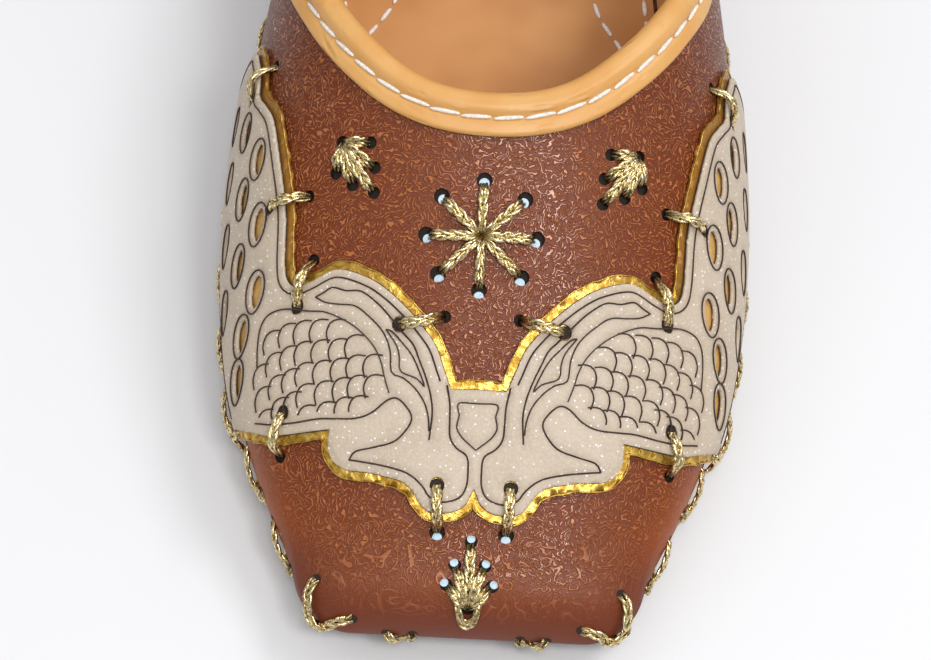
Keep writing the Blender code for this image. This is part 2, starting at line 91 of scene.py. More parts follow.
COLLAR = (
    CollarRow(0.056, 56.3),
    CollarRow(0.113, 55.2),
    CollarRow(0.176, 52.4),
    CollarRow(0.260, 49.8),
    CollarRow(0.369, 48.6),
    CollarRow(0.541, 50.2),
    CollarRow(0.713, 54.4),
    CollarRow(0.874, 59.6),
    CollarRow(1.000, 62.0),
)
WALL = 1.6
FIT = 0.3
BACKING = 0.6
OVERLAY = 1.0
BINDING = 1.0
BINDING_LEG_OUT = 5.2
BINDING_LEG_IN = 5.0
OUTSOLE = 4.0
SOLE_MARGIN = 0.5
TOE_SPRING = 3.0
TREAD_START = 55.0
TREAD_END = 115.0
HEEL_LIFT = 6.0
HEEL_BREAST = 188.0
INSOLE = 2.0
BACKING_LIFT = FIT
OVERLAY_LIFT = FIT + BACKING + FIT
OVERLAY_TOP = OVERLAY_LIFT + OVERLAY

# How fine the meshes are
FINE = 400                # samples behind every even spacing
UPPER_COLUMNS = 380       # around the shoe
UPPER_ROWS = 62           # widest line to the collar
SKIRT_ROWS = 10           # bottom edge to the widest line
# Middle, spread and extra density of the columns that crowd together on half the way around
CROWDS = ((0.105, 0.035, 1.5), (0.03, 0.09, 0.8), (0.86, 0.06, 0.8))
SHEET_CELL = 0.62         # squares of the overlay
BACKING_CELL = 1.3        # squares of the gold backing
ANGLE_STEPS = 160         # samples across the last

# The overlay's outline, as in the part's source; a sharp row is a corner
OutlineRow = namedtuple("OutlineRow", "side station sharp")
OVERLAY_CREST = (
    OutlineRow(0.0, 34.7, True),
    OutlineRow(4.6, 34.6, True),
    OutlineRow(5.8, 37.3, False),
    OutlineRow(7.3, 40.7, False),
    OutlineRow(9.3, 43.2, False),
    OutlineRow(12.0, 45.9, False),
    OutlineRow(15.5, 48.8, False),
    OutlineRow(19.2, 51.0, False),
    OutlineRow(24.4, 52.6, False),
    OutlineRow(28.8, 51.4, False),
)
OVERLAY_TAIL = (
    OutlineRow(31.4, 51.0, False),
    OutlineRow(33.6, 52.4, False),
    OutlineRow(34.5, 55.5, False),
    OutlineRow(35.2, 63.5, False),
    OutlineRow(37.5, 71.5, False),
    OutlineRow(40.5, 79.3, False),
    OutlineRow(43.7, 83.1, False),
    OutlineRow(46.7, 86.1, False),
    OutlineRow(47.8, 90.1, False),
    OutlineRow(50.0, 93.8, False),
    OutlineRow(54.0, 96.4, False),
)
OVERLAY_FRONT = (
    OutlineRow(38.7, 30.9, False),
    OutlineRow(34.8, 29.4, False),
    OutlineRow(30.4, 28.9, False),
    OutlineRow(24.2, 28.9, True),
    OutlineRow(24.2, 26.1, False),
    OutlineRow(23.1, 24.0, False),
    OutlineRow(20.8, 22.7, False),
    OutlineRow(17.6, 22.3, False),
    OutlineRow(14.4, 21.6, False),
    OutlineRow(12.0, 21.0, False),
)
OVERLAY_LOBE = (
    OutlineRow(10.2, 19.8, False),
    OutlineRow(8.9, 18.0, False),
    OutlineRow(7.3, 16.7, False),
    OutlineRow(4.9, 16.5, False),
    OutlineRow(2.8, 16.9, False),
    OutlineRow(1.2, 18.0, False),
    OutlineRow(0.0, 20.2, True),
)
HEM_RISE = 2.4
HEM_STATIONS = (95.5, 88.0, 80.0, 72.0, 64.0, 56.0, 48.0, 41.0, 34.5)
OUTLINE_STEP = 0.7
BACKING_MARGIN = 1.3
EyeRow = namedtuple("EyeRow", "side station turn")
TAIL_EYES = (
    EyeRow(40.3, 52.4, 0.0),
    EyeRow(41.3, 63.1, 0.0),
    EyeRow(43.3, 74.0, 6.0),
    EyeRow(43.2, 46.5, 0.0),
    EyeRow(46.3, 58.5, 0.0),
    EyeRow(47.2, 69.2, 4.0),
    EyeRow(49.4, 81.0, 8.0),
    EyeRow(43.8, 39.9, 0.0),
    EyeRow(51.4, 53.4, 0.0),
    EyeRow(53.6, 64.6, 0.0),
    EyeRow(55.6, 75.6, 4.0),
    EyeRow(57.6, 86.2, 8.0),
)
EYE_LENGTH = 4.8
EYE_WIDTH = 3.0
EYE_POINTS = 20
EYE_RING = 0.95           # from the edge of an eye to its engraved ring
EYE_GROWN = 0.18          # how much further out an eye is cut, all round
EYE_PALE = 0.7            # shares of an eye's size: how far from its middle the foil is painted light, paler and matt in the eye's shade
EYE_FADE = 0.3            # and over what more it fades

# Engraving of the overlay, drawn flat for the +X half
PlaceRow = namedtuple("PlaceRow", "side station")
LINE_INSET = 1.15         # engraved contour behind the cut edge
CREST_BACK = (
    PlaceRow(27.8, 48.9), PlaceRow(26.4, 49.4), PlaceRow(24.9, 50.0), PlaceRow(22.6, 49.3),
    PlaceRow(20.0, 49.0), PlaceRow(17.2, 47.1), PlaceRow(15.0, 45.0), PlaceRow(12.7, 42.6),
    PlaceRow(11.0, 40.9), PlaceRow(9.9, 38.7), PlaceRow(8.8, 36.4), PlaceRow(7.8, 33.6),
    PlaceRow(7.4, 31.0), PlaceRow(7.7, 27.1),
)
CREST_FRONT = (
    PlaceRow(27.8, 48.9), PlaceRow(26.0, 47.9), PlaceRow(23.8, 47.4), PlaceRow(20.9, 46.9),
    PlaceRow(18.6, 45.3), PlaceRow(16.6, 43.5), PlaceRow(15.4, 41.8), PlaceRow(14.7, 39.8),
    PlaceRow(14.3, 36.9), PlaceRow(12.4, 36.1), PlaceRow(10.4, 34.6), PlaceRow(8.8, 32.6),
    PlaceRow(8.0, 30.4), PlaceRow(7.8, 28.4),
)
CREST_LEAF = (
    PlaceRow(15.6, 43.2), PlaceRow(14.6, 42.9), PlaceRow(12.7, 41.1), PlaceRow(11.3, 39.6),
    PlaceRow(10.2, 37.8), PlaceRow(8.9, 34.9), PlaceRow(10.2, 36.0), PlaceRow(12.9, 37.1),
    PlaceRow(13.2, 39.1), PlaceRow(13.8, 40.9), PlaceRow(15.6, 43.2),
)
BREAST_LINE = (
    PlaceRow(5.2, 35.2), PlaceRow(4.6, 32.4), PlaceRow(4.5, 30.0), PlaceRow(4.3, 27.6),
    PlaceRow(3.2, 26.1), PlaceRow(1.4, 24.9), PlaceRow(1.1, 22.6), PlaceRow(1.3, 20.4),
    PlaceRow(2.4, 18.8), PlaceRow(5.0, 18.1), PlaceRow(7.2, 18.8), PlaceRow(8.5, 20.4),
    PlaceRow(10.9, 22.1), PlaceRow(14.4, 23.1), PlaceRow(18.8, 23.9), PlaceRow(20.6, 24.2),
)
NECK_LINE = (
    PlaceRow(20.6, 24.2), PlaceRow(19.6, 25.4), PlaceRow(16.4, 26.0), PlaceRow(13.4, 26.8),
    PlaceRow(11.6, 28.4), PlaceRow(10.7, 30.1), PlaceRow(11.4, 31.6), PlaceRow(13.2, 33.1),
    PlaceRow(14.9, 32.8), PlaceRow(17.2, 31.1), PlaceRow(19.8, 30.3), PlaceRow(23.4, 30.4),
    PlaceRow(26.0, 30.6), PlaceRow(30.5, 30.5), PlaceRow(34.6, 31.0), PlaceRow(38.0, 32.0),
)
SHIELD_LINE = (
    PlaceRow(0.0, 32.7), PlaceRow(3.2, 32.6), PlaceRow(3.0, 30.9), PlaceRow(3.3, 29.1),
    PlaceRow(2.3, 27.6), PlaceRow(0.0, 25.9),
)
WING_LINE = (
    PlaceRow(38.2, 40.2), PlaceRow(38.4, 43.4), PlaceRow(38.1, 46.2), PlaceRow(36.6, 47.8),
    PlaceRow(33.4, 48.0), PlaceRow(29.2, 47.0), PlaceRow(25.6, 46.3), PlaceRow(21.2, 44.1),
    PlaceRow(18.0, 41.4), PlaceRow(16.3, 38.8), PlaceRow(15.4, 36.0), PlaceRow(14.6, 33.9),
)
FeatherColumn = namedtuple("FeatherColumn", "side station side_step step count")
FEATHERS = (
    FeatherColumn(37.1, 40.4, -0.70, -3.5, 3),
    FeatherColumn(35.4, 45.1, -0.85, -3.5, 4),
    FeatherColumn(32.4, 45.6, -0.60, -3.5, 4),
    FeatherColumn(29.6, 45.6, -0.40, -3.2, 5),
    FeatherColumn(26.7, 45.4, -0.50, -3.1, 5),
    FeatherColumn(23.7, 45.1, -0.50, -2.9, 5),
    FeatherColumn(20.5, 42.6, -0.40, -3.0, 4),
    FeatherColumn(17.3, 39.6, -0.30, -3.0, 2),
)
FEATHER_ARC = (
    PlaceRow(1.4, -3.4), PlaceRow(1.8, -1.8), PlaceRow(1.2, -0.4), PlaceRow(0.0, 0.0),
    PlaceRow(-1.4, -0.2),
)
GROOVE = 0.20             # depth of the leather pressed down beside a line
GROOVE_SPREAD = 0.55
EDGE_FALL = 0.28          # rounding of the cut edge
SHEET_THINNER = 0.3       # how much thinner the pressed sheet is drawn than the cut piece
BURNT_RISE = 0.06         # of a burnt line over the bottom of its groove or cut
BURNT_EDGE = 0.10         # radius of the dark line along a cut: its burnt edge, with painted shade where it meets the foil

# Gold backing
FOIL_WOBBLE = 0.10        # how unevenly its edge is cut, as a share of its margin
FOIL_CRINKLE = 0.07       # height of its folds
FOIL_FRONT = 1.7          # margins by which it passes the lobe's middle
RIM_START = 12.0          # station behind which its cut edge shines
RIM_RADIUS = 0.13

# Braid ornaments: the hub and the punched holes of each fan, flat places for the +X half
STAR_SHIFT = -0.8         # the star was punched a little off the middle line
STAR_HUB = PlaceRow(0.0, 56.9)
STAR_HOLES = (
    PlaceRow(0.0, 64.9), PlaceRow(6.95, 62.5), PlaceRow(9.25, 57.0), PlaceRow(6.95, 51.3),
    PlaceRow(0.0, 49.1),
)
FAN_HUB = PlaceRow(25.7, 71.9)
FAN_HOLES = (
    PlaceRow(20.45, 71.0), PlaceRow(19.45, 67.2), PlaceRow(19.35, 63.5), PlaceRow(23.25, 65.1),
    PlaceRow(26.5, 67.3),
)
TOE_HUB = PlaceRow(0.0, 2.6)
TOE_HOLES = (PlaceRow(0.0, 12.4), PlaceRow(2.5, 8.75), PlaceRow(3.8, 5.7))
WhipRow = namedtuple("WhipRow", "side station far_side far_station")
WHIPS = (
    WhipRow(38.65, 64.9, 31.55, 64.9),
    WhipRow(49.5, 86.7, 44.9, 90.6),
    WhipRow(31.2, 48.0, 29.65, 54.9),
    WhipRow(13.5, 43.9, 6.25, 45.1),
    WhipRow(32.75, 32.3, 34.05, 26.2),
    WhipRow(6.05, 20.5, 5.7, 13.6),
)
HOLE_DEPTH = 1.15
CORD_GAP = 0.40           # each of the two cords of a braid, from its middle
PLY_TWIST = 4.4           # length of one full twist

# Creases of the worn toe: place, direction, half length, half width and depth
CreaseRow = namedtuple("CreaseRow", "side station turn length width depth")
CREASES = (
    CreaseRow(-11.0, 12.5, 12.0, 7.0, 1.1, 0.24),
    CreaseRow(-9.0, 9.6, -6.0, 6.0, 1.0, 0.22),
    CreaseRow(-13.5, 6.5, 4.0, 8.0, 1.2, 0.20),
    CreaseRow(9.5, 10.5, -14.0, 6.5, 1.1, 0.22),
    CreaseRow(12.5, 6.8, 8.0, 8.0, 1.2, 0.22),
    CreaseRow(21.0, 13.0, 30.0, 5.0, 0.7, 0.20),
    CreaseRow(-20.0, 14.5, -28.0, 5.0, 0.7, 0.18),
    CreaseRow(3.0, 69.5, 3.0, 9.0, 0.8, 0.22),
    CreaseRow(-7.0, 67.8, -8.0, 6.0, 0.7, 0.16),
)

# Collar binding and its white stitches
BINDING_EDGE = 3.0        # flat band between the binding's cut edge and its stitches
STITCH_SUNK = 0.12        # how deep a stitch's middle lies in the binding
STITCH_SPACE = 0.35       # between one stitch and the next
STITCH_SLANT = 0.14       # rise from a stitch's middle to its end
STITCH_FULLNESS = 0.6     # power along a stitch: below 1 its ends are fuller than an oval's
STITCH_HEIGHT = 0.42      # half its thickness as a share of its width

# White stitches of the footbed: distance in from its edge, and how far a row widens
InsoleRow = namedtuple("InsoleRow", "inset spread")
INSOLE_ROWS = (InsoleRow(1.8, 0.0), InsoleRow(11.6, 0.28))
INSOLE_PITCH = 4.6
INSOLE_STITCH = 3.6
INSOLE_THREAD = 0.95

# Braid stitches around the sole's edge
EDGE_HOLES = -1.6         # drop of their holes below the widest line, so above it
FRONT_DROP = 0.8          # how much lower the front's holes stand
FRONT_GROUP = 10.8        # from the toe's middle along the edge to the front's stitch
CORNER_GROUP = 26.5       # to the corner's stitch
NEXT_GROUP = 38.6         # to the one beside it
SIDE_GROUP = 53.2         # and to the first of the even row behind them
LEG_END = 1.6             # how far a leg runs on below the sole's top face
CORNER_END = 2.6          # a corner leg's end, to each side of the stitch's middle
SIDE_SPREAD = 0.36        # half a stitch's width as a share of the distance to the next
FRONT_SPREAD = 0.17       # the same at the toe's front
EDGE_PLY = 0.31           # radius of a ply
EDGE_PLY_TURN = 0.24      # from the middle of a cord to its ply
EDGE_CORD_GAP = 0.42      # from the middle of the braid to its cord
# The corner's two legs from their holes down: distance along the edge, drop below it.
# Most of the places above the widest line were picked by eye in the photograph, and a scratch
# program laid them on the leather through its camera.
CORNER_LEGS = {
    1.0: ((17.9, -12.0), (18.6, -10.6), (19.1, -8.4), (19.6, -6.4), (22.0, -3.0),
          (24.6, 0.4), (27.2, 4.0)),
    -1.0: ((15.8, -4.6), (17.6, -4.6), (19.4, -4.1), (22.0, -2.0), (24.6, 0.4), (24.2, 4.0)),
}

# Dark joints of the leather, as heights on the wall
SIDE_SEAM = 0.155         # share around at which vamp and quarter join
SEAM_LOW = -0.9
SIDE_SEAM_TOP = 0.14
BACK_SEAM_TOP = 0.85
SEAM_RADIUS = 0.16

# The loop at the toe fan's hub
TOE_LOOP = ((-1.7, 3.6), (-1.6, 2.5), (-0.9, 1.5), (0.0, 1.15), (0.9, 1.5), (1.6, 2.5), (1.7, 3.6))
TOE_LOOP_LIFTS = (0.2, 0.75, 0.9, 0.95, 0.9, 0.75, 0.2)
TOE_LOOP_WIDTH = 0.62

# Zones where a look or a shape comes in, from none at the start to all of it at the full
# place: stations, or distances above the widest line
Zone = namedtuple("Zone", "start full")
GRAIN_UP = Zone(1.5, 10.5)
GRAIN_BACK = Zone(2.0, 11.0)
WAX_GOES = Zone(4.0, 26.0)
LOOPS_UP = Zone(3.0, 9.0)
LOOPS_GO = Zone(8.0, 18.0)
# The next three zones paint shade on the upper: towards its back, and on the toe's lower front wall
SHADE_BACK = Zone(62.0, 102.0)
TOE_SHADE_GOES_UP = Zone(4.0, 11.0)
TOE_SHADE_GOES_BACK = Zone(8.0, 20.0)
# Painted shade on the gold foil along the tails
FOIL_SHADED = Zone(50.0, 58.0)
HEM_BULGE = Zone(33.0, 39.0)
HEM_BULGE_GOES = Zone(112.0, 122.0)
ARCH_SPREAD = Zone(84.0, 108.0)
ARCH_SPREAD_GOES = Zone(120.0, 136.0)

# Pale floors in the holes, painted light on the lit side of a hole, in radii of a hole: how far off
# the middle, and how large
STAR_FLOOR_IN = 0.22
STAR_FLOOR_FRONT = 0.5
STAR_FLOOR_BACK = 0.2
STAR_FLOOR_SIZE = 0.70
TOE_FLOOR_OUT = 0.34
TOE_FLOOR_SIZE = 0.58
WHIP_FLOOR_FRONT = 0.62
WHIP_FLOOR_SIZE = 0.66
FLOOR_RISE = 0.42         # of its middle over the bottom of the hole
FLOOR_THICKNESS = 0.7

# Soles
BEND_START = 6.0          # first cut across, so that the slab can follow the sole's curve
SOLE_CELL = 4.0
INSOLE_CELL = 3.0
HEEL_LAYERS = 3
HEEL_JOINT = 0.04         # open line between two layers of the heel

# Stage, in metres and watts
FLOOR_HALF = 4.0
FLOOR_DROP = 0.0002
SKY_LOW = 0.16            # strength of the surround at the horizon and overhead
SKY_HIGH = 0.90
LampRow = namedtuple("LampRow", "name place size power")
LAMPS = (
    LampRow("key_panel", (0.78, 0.42, 1.45), 0.5, 8.0),
    LampRow("glint_panel", (0.26, -0.46, 0.87), 0.18, 2.3),
    LampRow("fill_panel", (0.02, -0.44, 0.90), 0.18, 1.7),
)
LAMP_AIM = (0.0, -0.05, 0.02)

# The photograph's camera
CAMERA_LENS = 95.0        # millimetres, on a sensor 36 wide
SENSOR = 36.0
CAMERA_DOWN = 60.0        # degrees below the horizon
CAMERA_ROLL = 2.9
CAMERA_DISTANCE = 420.0
CAMERA_AIM = (-2.7, -75.5, 26.5)


# Curves through tables
def column(table, name, at):
    """Smooth curve through one named column of a table of rows, at the stations given."""
    places = np.array([row.station for row in table])
    values = np.array([getattr(row, name) for row in table])
    slopes = np.gradient(values, places)
    at = np.clip(np.asarray(at, float), places[0], places[-1])
    left = np.clip(np.searchsorted(places, at, side="right") - 1, 0, len(places) - 2)
    width = places[left + 1] - places[left]
    t = (at - places[left]) / width
    rise = values[left] * (2 * t**3 - 3 * t**2 + 1) + values[left + 1] * (3 * t**2 - 2 * t**3)
    bend = slopes[left] * (t**3 - 2 * t**2 + t) + slopes[left + 1] * (t**3 - t**2)
    return rise + bend * width


def ease(t):
    """Smooth step from 0 to 1."""
    t = np.clip(t, 0.0, 1.0)
    return t * t * (3.0 - 2.0 * t)


def within(zone, at):
    """Share of a zone's look or shape at a place."""
    return ease((at - zone.start) / (zone.full - zone.start))


def unit(vector):
    return vector / np.linalg.norm(vector, axis=-1, keepdims=True)


def smooth_run(rows, step):
    """Points of a run of rows: a curve between the sharp rows, in even steps."""
    points = [np.array((row.side, row.station)) for row in rows]
    sharp = [getattr(row, "sharp", False) for row in rows]
    run = []
    for i in range(len(rows) - 1):
        a, b = points[i], points[i + 1]
        before = a if sharp[i] or i == 0 else points[i - 1]
        after = b if sharp[i + 1] or i + 2 == len(rows) else points[i + 2]
        start = (b - before) / (2.0 if before is not a else 1.0)
        end = (after - a) / (2.0 if after is not b else 1.0)
        count = max(1, math.ceil(np.linalg.norm(b - a) / step))
        for k in range(count):
            t = k / count
            here = a * (2 * t**3 - 3 * t**2 + 1) + b * (3 * t**2 - 2 * t**3)
            run.append(here + start * (t**3 - 2 * t**2 + t) + end * (t**3 - t**2))
    run.append(points[-1])
    return run


# The last
def path_of(station):
    """Distance over the toe's rounding and the top, for a station behind the rounding."""
    return station - TOE_ROUND + TOE_ROUND * math.pi / 2


def flat_path(station):
    """Distance over the toe's rounding for any station, also on the rounding itself."""
    turn = np.arccos(np.clip(1.0 - station / TOE_ROUND, 0.0, 1.0))
    return np.where(station < TOE_ROUND, TOE_ROUND * turn, path_of(station))


def station_of(path):
    """Station for a distance measured over the toe's rounding."""
    turn = np.clip(path, 0.0, TOE_ROUND * math.pi / 2) / TOE_ROUND
    rounded = TOE_ROUND * (1.0 - np.cos(turn))
    return np.where(path < TOE_ROUND * math.pi / 2, rounded, path - path_of(0.0))


def half_width(station):
    """Half the width of the widest line, with the toe's corner and the heel rounded."""
    inside_corner = np.clip(TOE_CORNER - station, 0.0, TOE_CORNER)
    corner = np.sqrt(np.maximum(TOE_CORNER**2 - inside_corner**2, 0.0)) - TOE_CORNER
    back = np.clip((station - (LENGTH - HEEL_ROUND)) / HEEL_ROUND, 0.0, 1.0)
    closing = np.sqrt(np.maximum(1.0 - back**HEEL_POWER, 0.0))
    return (column(LAST, "half_width", station) + corner) * closing


def dome(path, angle):
    """Point of the last above the widest line. Angle 0 is the +X side, pi/2 the ridge."""
    path, angle = np.broadcast_arrays(np.asarray(path, float), np.asarray(angle, float))
    station = station_of(path)
    belly = column(LAST, "belly", station)
    power = 2.0 / column(LAST, "squareness", station)
    front = np.sin(np.clip(path, 0.0, TOE_ROUND * math.pi / 2) / TOE_ROUND)
    height = (column(LAST, "ridge", station) - belly) * front
    across = np.sign(np.cos(angle)) * np.abs(np.cos(angle)) ** power
    x = half_width(station) * across
    z = belly + height * np.abs(np.sin(angle)) ** power
    lean = ease((station - LEAN_START) / (LENGTH - LEAN_START))
    lean = HEEL_LEAN * lean * ((z - belly) / LEAN_HEIGHT) ** 2
    return np.stack((x, station - lean, z), axis=-1)


def run_along(points):
    """Distance run from the first point of a line to each of its points."""
    steps = np.linalg.norm(np.diff(points, axis=0), axis=1)
    return np.concatenate(((0.0,), np.cumsum(steps)))


def shares(points):
    """Share of the whole length run at each point of a line."""
    run = run_along(points)
    return run / run[-1]


def belly_line():
    """Widest line of the +X half: share of its length, path and angle."""
    across = np.linspace(math.pi / 2, 0.0, FINE)[:-1]
    t = np.linspace(0.0, math.pi, FINE)
    along = path_of(LENGTH) * (1.0 - np.cos(t)) / 2.0
    path = np.concatenate((np.zeros(FINE - 1), along))
    angle = np.concatenate((across, np.zeros(FINE)))
    return shares(dome(path, angle)), path, angle


def collar_line():
    """Upper's top edge of the +X half: share of its length, path and angle."""
    t = np.linspace(0.0, math.pi, 2 * FINE)
    span = LENGTH - THROAT
    station = THROAT + span * (1.0 - np.cos(t)) / 2.0
    rows = [EdgeRow(THROAT, float(column(LAST, "ridge", THROAT)))]
    rows += [EdgeRow(THROAT + row.share * span, row.height) for row in COLLAR]
    height = column(rows, "height", station)
    belly = column(LAST, "belly", station)
    rise = (height - belly) / (column(LAST, "ridge", station) - belly)
    half_power = column(LAST, "squareness", station) / 2.0
    angle = np.arcsin(np.clip(rise, 0.0, 1.0) ** half_power)
    path = path_of(station)
    return shares(dome(path, angle)), path, angle


BELLY_LINE = belly_line()
COLLAR_LINE = collar_line()


def on_line(line, share):
    """Path and angle at a share of a line's length."""
    return np.interp(share, line[0], line[1]), np.interp(share, line[0], line[2])


def sole_under(station):
    """Height of the outsole's underside: toe spring, tread, arch and heel seat."""
    spring = TOE_SPRING * np.clip(1.0 - station / TREAD_START, 0.0, 1.0) ** 2
    arch = ease((station - TREAD_END) / (HEEL_BREAST - TREAD_END))
    return spring + (HEEL_LIFT + FIT) * arch


def sole_top(station):
    """Height of the outsole's top face."""
    return sole_under(station) + OUTSOLE


def belly_point(around):
    """Widest line in plan at a share of the way around, x and station."""
    half = 1.0 - np.abs(1.0 - 2.0 * (around % 1.0))
    side = np.where(around % 1.0 <= 0.5, 1.0, -1.0)
    point = dome(*on_line(BELLY_LINE, half))
    return side * point[..., 0], point[..., 1]


def plan_normal(around):
    """Outward direction of the widest line in plan."""
    step = 0.002
    x0, y0 = belly_point(around - step)
    x1, y1 = belly_point(around + step)
    length = np.hypot(x1 - x0, y1 - y0)
    return (y1 - y0) / length, (x0 - x1) / length


def on_dome(around, up):
    """Path and angle on the last for a place of the wall at or above the widest line."""
    half = 1.0 - np.abs(1.0 - 2.0 * (around % 1.0))
    low = on_line(BELLY_LINE, half)
    high = on_line(COLLAR_LINE, half)
    rise = np.maximum(up, 0.0)
    return low[0] + rise * (high[0] - low[0]), low[1] + rise * (high[1] - low[1])


def wall(around, up):
    """Outer face of the upper."""
    around, up = np.broadcast_arrays(np.asarray(around, float), np.asarray(up, float))
    side = np.where(around % 1.0 <= 0.5, 1.0, -1.0)
    point = dome(*on_dome(around, up))
    point[..., 0] *= side
    down = np.clip(-up, 0.0, None)
    turn = down * math.pi / 3.0
    tuck = column(LAST, "tuck", point[..., 1]) * (1.0 - np.cos(turn)) * 2.0
    drop = point[..., 2] - sole_top(point[..., 1]) - FIT
    nx, ny = plan_normal(around)
    below = up < 0.0
    point[..., 0] -= np.where(below, nx * tuck, 0.0)
    point[..., 1] -= np.where(below, ny * tuck, 0.0)
    point[..., 2] -= np.where(below, drop * np.sin(turn) / math.sin(math.pi / 3.0), 0.0)
    return point


def spread_around(share):
    """Evenly numbered columns moved closer together at the toe and the heel."""
    at = np.linspace(0.0, 1.0, FINE)
    density = np.ones(FINE)
    for middle, spread, extra in CROWDS:
        density += extra * np.exp(-(((at - middle) / spread) ** 2))
    run = np.concatenate(((0.0,), np.cumsum((density[1:] + density[:-1]) / 2.0)))
    half = np.interp(np.abs(share), run / run[-1], at) / 2.0
    return np.where(share < 0.0, 1.0 - half, half)


def wall_frame(around, up):
    """Outward normal of the upper and the direction up the wall, square to the run."""
    du, dv = 0.002, 0.01
    run = unit(wall(around + du, up) - wall(around - du, up))
    climb = wall(around, up + dv) - wall(around, up - dv)
    climb = unit(climb - run * np.sum(run * climb, axis=-1, keepdims=True))
    return np.cross(run, climb), climb


def at_depth(around, up, depth):
    """Point at a depth below the upper's outer face."""
    depth = np.broadcast_to(depth, np.shape(around))
    return wall(around, up) - depth[..., None] * wall_frame(around, up)[0]


# Places of the flat pattern
GIRTH_ANGLES = np.linspace(math.pi / 2, 0.0, ANGLE_STEPS)


def girths(path):
    """Distance over the section from the ridge down to each angle."""
    points = dome(path[:, None], GIRTH_ANGLES[None, :])
    steps = np.linalg.norm(np.diff(points, axis=1), axis=2)
    return np.concatenate((np.zeros((len(path), 1)), np.cumsum(steps, axis=1)), axis=1)


def over_last(side, station, lift):
    """Point above the upper for a place of the flat pattern, and the outward direction."""
    side, station = np.asarray(side, float), np.asarray(station, float)
    path = flat_path(station)
    table = girths(path)
    angle = np.array([np.interp(abs(s), row, GIRTH_ANGLES) for s, row in zip(side, table)])
    step = 0.01
    along = dome(path + 0.4, angle) - dome(np.maximum(path - 0.4, 0.0), angle)
    across = dome(path, angle + step) - dome(path, np.maximum(angle - step, 0.0))
    normal = unit(np.cross(along, across))
    point = dome(path, angle) + np.asarray(lift)[..., None] * normal
    flip = np.where(side < 0.0, -1.0, 1.0)
    point[:, 0] *= flip
    normal[:, 0] *= flip
    return point, normal


def flat_place(path, angle):
    """Side distance and station of places of the last, +X half."""
    table = girths(path)
    rising = GIRTH_ANGLES[::-1]
    side = [np.interp(a, rising, row[::-1]) for a, row in zip(angle, table)]
    return np.array(side), station_of(path)


def hem(station):
    """Side edge of the overlay: a fixed rise over the widest line."""
    return float(girths(np.array([path_of(station)]))[0, -1]) - HEM_RISE


def half_outline():
    """Outline of the overlay's +X half, from the crest's middle to the lobe's."""
    sides = tuple(OutlineRow(hem(s), s, s == HEM_STATIONS[-1]) for s in HEM_STATIONS)
    rows = OVERLAY_CREST + OVERLAY_TAIL + sides + OVERLAY_FRONT + OVERLAY_LOBE
    return smooth_run(rows, OUTLINE_STEP)


def moved_out(points, margin):
    """Points of an open run moved square to it, outwards where the margin is above 0."""
    points = np.array(points)
    ahead = np.vstack((points[1:], 2 * points[-1] - points[-2]))
    behind = np.vstack((2 * points[0] - points[1], points[:-1]))
    before, after = unit(points - behind), unit(ahead - points)
    normal = unit(before + after)[:, ::-1] * (-1.0, 1.0)
    stretch = 1.0 / np.maximum(np.sum(normal * (before[:, ::-1] * (-1.0, 1.0)), axis=1), 0.6)
    return points + normal * (margin * stretch)[:, None]


def eye_outline(row, margin):
    """Oval of one tail eye, narrower towards the toe, grown by a margin."""
    turn = math.radians(row.turn)
    points = []
    for k in range(EYE_POINTS):
        t = 2.0 * math.pi * k / EYE_POINTS
        y = -math.cos(t) * (EYE_LENGTH / 2.0 + margin)
        x = math.sin(t) * (EYE_WIDTH / 2.0 * (0.86 - 0.14 * math.cos(t)) + margin)
        side = row.side + x * math.cos(turn) + y * math.sin(turn)
        points.append(np.array((side, row.station + y * math.cos(turn) - x * math.sin(turn))))
    return points


def circle(side, station, radius, count):
    """Points of a round hole in the flat pattern."""
    turns = 2.0 * math.pi * np.arange(count) / count
    return [np.array((side + radius * math.sin(t), station + radius * math.cos(t))) for t in turns]


def feather_end(side):
    """Station where the feathers stop, just behind the line along the lower edge."""
    line = [row for row in NECK_LINE if row.side >= 19.8 and row.station > 27.0]
    return 0.7 + float(np.interp(side, [row.side for row in line], [row.station for row in line]))


def engraved_runs():
    """Every engraved line of the +X half, as runs of flat places."""
    tables = (CREST_BACK, CREST_FRONT, CREST_LEAF, BREAST_LINE, NECK_LINE, SHIELD_LINE, WING_LINE)
    runs = [smooth_run(table, 0.7) for table in tables]
    for row in FEATHERS:
        for k in range(row.count):
            side = row.side + k * row.side_step
            station = row.station + k * row.step
            arc = [PlaceRow(side + p.side, station + p.station) for p in FEATHER_ARC]
            arc = [p for p in smooth_run(arc, 0.7) if p[1] > feather_end(p[0])]
            if len(arc) > 2:
                runs.append(arc)
    for row in TAIL_EYES:
        ring = eye_outline(row, EYE_RING)
        runs.append(ring + ring[:1])
    sides = tuple(OutlineRow(hem(s), s, False) for s in HEM_STATIONS)
    edge = moved_out(smooth_run(OVERLAY_CREST[1:] + OVERLAY_TAIL + sides, 0.7), -LINE_INSET)
    runs.append([p for p in edge[1:] if p[1] > 35.2])
    return [np.array(run) for run in runs]


def distance_to(points, runs):
    """Distance from each point to the nearest of the runs."""
    nearest = np.full(len(points), 1e9)
    starts = np.vstack([run[:-1] for run in runs])
    ends = np.vstack([run[1:] for run in runs])
    for first in range(0, len(points), 2000):
        part = points[first:first + 2000, None, :]
        run = ends - starts
        share = np.sum((part - starts) * run, axis=2) / np.maximum(np.sum(run * run, axis=1), 1e-9)
        foot = starts + np.clip(share, 0.0, 1.0)[..., None] * run
        gaps = np.linalg.norm(part - foot, axis=2)
        nearest[first:first + 2000] = gaps.min(axis=1)
    return nearest


def engraved_height(edge_gap, line_gap):
    """How far the overlay's surface lies below its full thickness."""
    edge = EDGE_FALL * (1.0 - ease(edge_gap / 1.1))
    return edge + GROOVE * np.exp(-((line_gap / GROOVE_SPREAD) ** 2))


